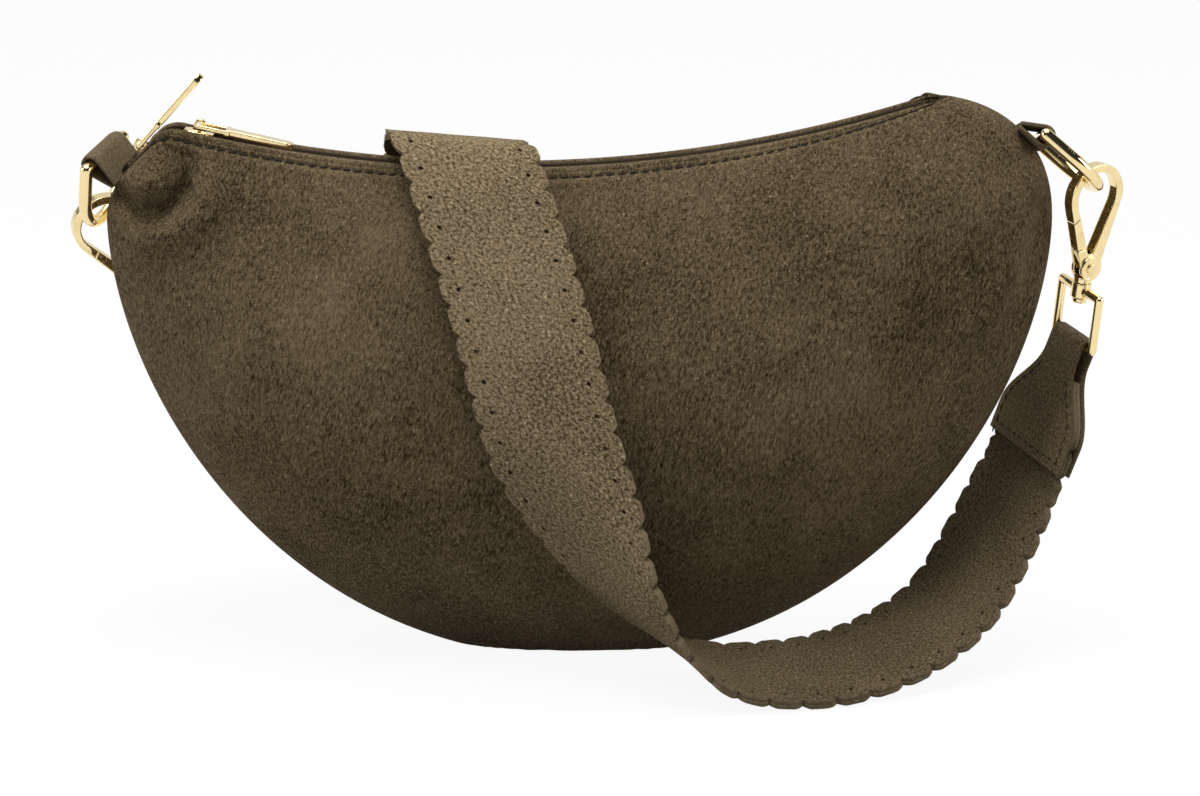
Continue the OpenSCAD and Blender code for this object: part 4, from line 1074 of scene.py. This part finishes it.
def fibre_tree():
    """Short tapered fibres that stand out of a cut edge, each leaning its own way."""
    tree, ins, out = group("loose fibres", [
        ("Geometry", "Geometry", None), ("Fibre Pitch", "Float", 0.00045),
        ("Fibre Length", "Float", 0.0008), ("Fibre Width", "Float", 0.00013),
        ("Spread", "Float", 0.9), ("Thread", "Material", None)],
        [("Geometry", "Geometry")], "GeometryNodeTree")
    spots = spots_along(tree, ins["Geometry"], ins["Fibre Pitch"])
    cone = first(tree, "GeometryNodeMeshCone", {
        "Vertices": 3, "Radius Top": 0.0, "Radius Bottom": 0.5, "Depth": 1.0})
    aimed = first(tree, ALIGN, {"Vector": stand_of(tree)}, axis="Z")
    turn = vector_of(tree, {k: times(tree, chance(tree, seed, -1.0, 1.0), ins["Spread"])
                            for k, seed in enumerate((11, 12))})
    tall = times(tree, ins["Fibre Length"], chance(tree, 13, 0.35, 1.25))
    size = vector_of(tree, {0: ins["Fibre Width"], 1: ins["Fibre Width"], 2: tall})
    grown = plant(tree, spots["Points"], cone, aimed, turn, size, ins["Thread"])
    connect(tree, out, {"Geometry": grown})
    return tree


def grow_on_lines(name, tree, lines, material, slot, **sizes):
    """Stitches or fibres along lines of (points, normals), as one plain mesh."""
    mesh = bpy.data.meshes.new(name)
    points = np.concatenate([p for p, _ in lines]) * MM
    starts = np.cumsum([0] + [len(p) for p, _ in lines])
    edges = [(k, k + 1) for a, b in zip(starts[:-1], starts[1:]) for k in range(a, b - 1)]
    mesh.from_pydata(points.tolist(), edges, [])
    stand = mesh.attributes.new("stand", "FLOAT_VECTOR", "POINT")
    stand.data.foreach_set("vector", np.concatenate([n for _, n in lines]).ravel())
    guide = new_object(name + "_guide", mesh)
    modifier = guide.modifiers.new("grow", "NODES")
    modifier.node_group = tree
    named = {item.name: item.identifier for item in tree.interface.items_tree
             if item.item_type == "SOCKET" and item.in_out == "INPUT"}
    modifier[named["Thread"]] = material
    for key, value in sizes.items():
        modifier[named[key.replace("_", " ")]] = value
    bpy.context.view_layer.update()
    ready = guide.evaluated_get(bpy.context.evaluated_depsgraph_get())
    plain = bpy.data.meshes.new_from_object(ready)
    if not plain.uv_layers:
        plain.uv_layers.new(name="run")
    guide.modifiers.clear()
    bpy.data.objects.remove(guide)
    belongs(new_object(name, plain))


def rim_stitch_line(side):
    """The row of stitches below one rim."""
    us = np.linspace(0.012, 0.988, 320)
    rim, reach, down = rays(us)
    y = np.maximum(face_depth(fullness(us), 1 - STITCH_DROP / reach) - 0.5, RIM_Y * 0.9)
    return in_space(rim + STITCH_DROP * down, side * y), np.tile([0.0, side, 0.25], (len(us), 1))


def end_stitch_lines(strip, leaf):
    """Stitches along both edges of one leaf of a strap end, and across its straight end."""
    line, norm, half, origin, along, over, across = strip
    n = len(line) // 2
    keep = slice(0, n) if leaf < 0 else slice(len(line) - n, None)
    q, out, wide = line[keep], norm[keep] * leaf, half[keep]
    sewn = q[:, 0] < END_STITCH_SHARE * q[:, 0].max()
    q, out, wide = q[sewn] + out[sewn] * (SUEDE_T / 2 + 0.08), out[sewn], wide[sewn] - END_STITCH_IN
    stand = out[:, :1] * along + out[:, 1:] * over
    middle = origin + q[:, :1] * along + q[:, 1:] * over
    k = int(np.argmin(np.abs(q[:, 0] - END_STITCH_IN)))
    w = np.linspace(-1, 1, 20) * wide[k]
    base = origin + END_STITCH_IN * along + q[k, 1] * over
    return [(middle + (side * wide)[:, None] * across, stand) for side in (-1, 1)] + [
        (base + w[:, None] * across, np.tile(stand[k], (len(w), 1)))]


def strap_edge_lines():
    """Lines along the scalloped edges of both layers, with the way out of the strap."""
    s = np.arange(COVERED + 1, STRAP_L - COVERED - 1, 0.4)
    across = strap_frame(s)[1]
    lines = []
    for side in (-1, 1):
        for offset, trim in ((0.85 * LAYER_T, 0.0), (-0.5 * LAYER_T, BACKING_TRIM)):
            w = side * (strap_half(s) - trim - 0.12)
            lines.append((strap_place(s, w, np.full(len(s), offset)), side * unit(across)))
    return lines


# Build
make_camera()
make_floor()
make_world()
for lamp_row in LAMPS:
    make_lamp(*lamp_row)
bpy.context.scene.view_settings.view_transform = "Standard"

make_panel("front_half", FRONT, "front_panel")
make_panel("back_half", BACK, "back_panel")
make_tape("front_tape", FRONT, "zip_tape_front")
make_tape("back_tape", BACK, "zip_tape_back")
make_lining("front_lining", FRONT, "lining_front")
make_lining("back_lining", BACK, "lining_back")
make_strap_layer("strap_face", 0.02, LAYER_T, 0.0, MAT["strap_suede"], "strap_outer_layer")
# The backing layer takes the darker suede, whose darkness is partly painted shade.
make_strap_layer("strap_backing", -LAYER_T, -0.02, BACKING_TRIM, MAT["backing suede with painted shade"],
                 "strap_inner_layer")
make_tab("right_tab", RIGHT, "right_ring_tab")
make_tab("left_tab", LEFT, "left_ring_tab")
end_rows = []
for word, place in (("right", RIGHT), ("left", LEFT)):
    strap_end = make_strap_end(f"{word}_end_piece", place, f"{word}_strap_end")
    end_rows += end_stitch_lines(strap_end, -1) + end_stitch_lines(strap_end, 1)

STITCHES, FIBRES = stitch_tree(), fibre_tree()
grow_on_lines("rim_stitches", STITCHES, [rim_stitch_line(FRONT), rim_stitch_line(BACK)],
              MAT["thread"], "suede", Stitch_Length=0.0029, Thread_Width=0.0008)
grow_on_lines("end_piece_stitches", STITCHES, end_rows, MAT["thread"], "strap_suede")
grow_on_lines("strap_fibres", FIBRES, strap_edge_lines(), MAT["edge"], "strap_suede")

for part in frame["record"]["subparts"]:
    for entry in frame["nodes"][part["node"]].material_slots:
        entry.material = MAT[part["material_slot"]]
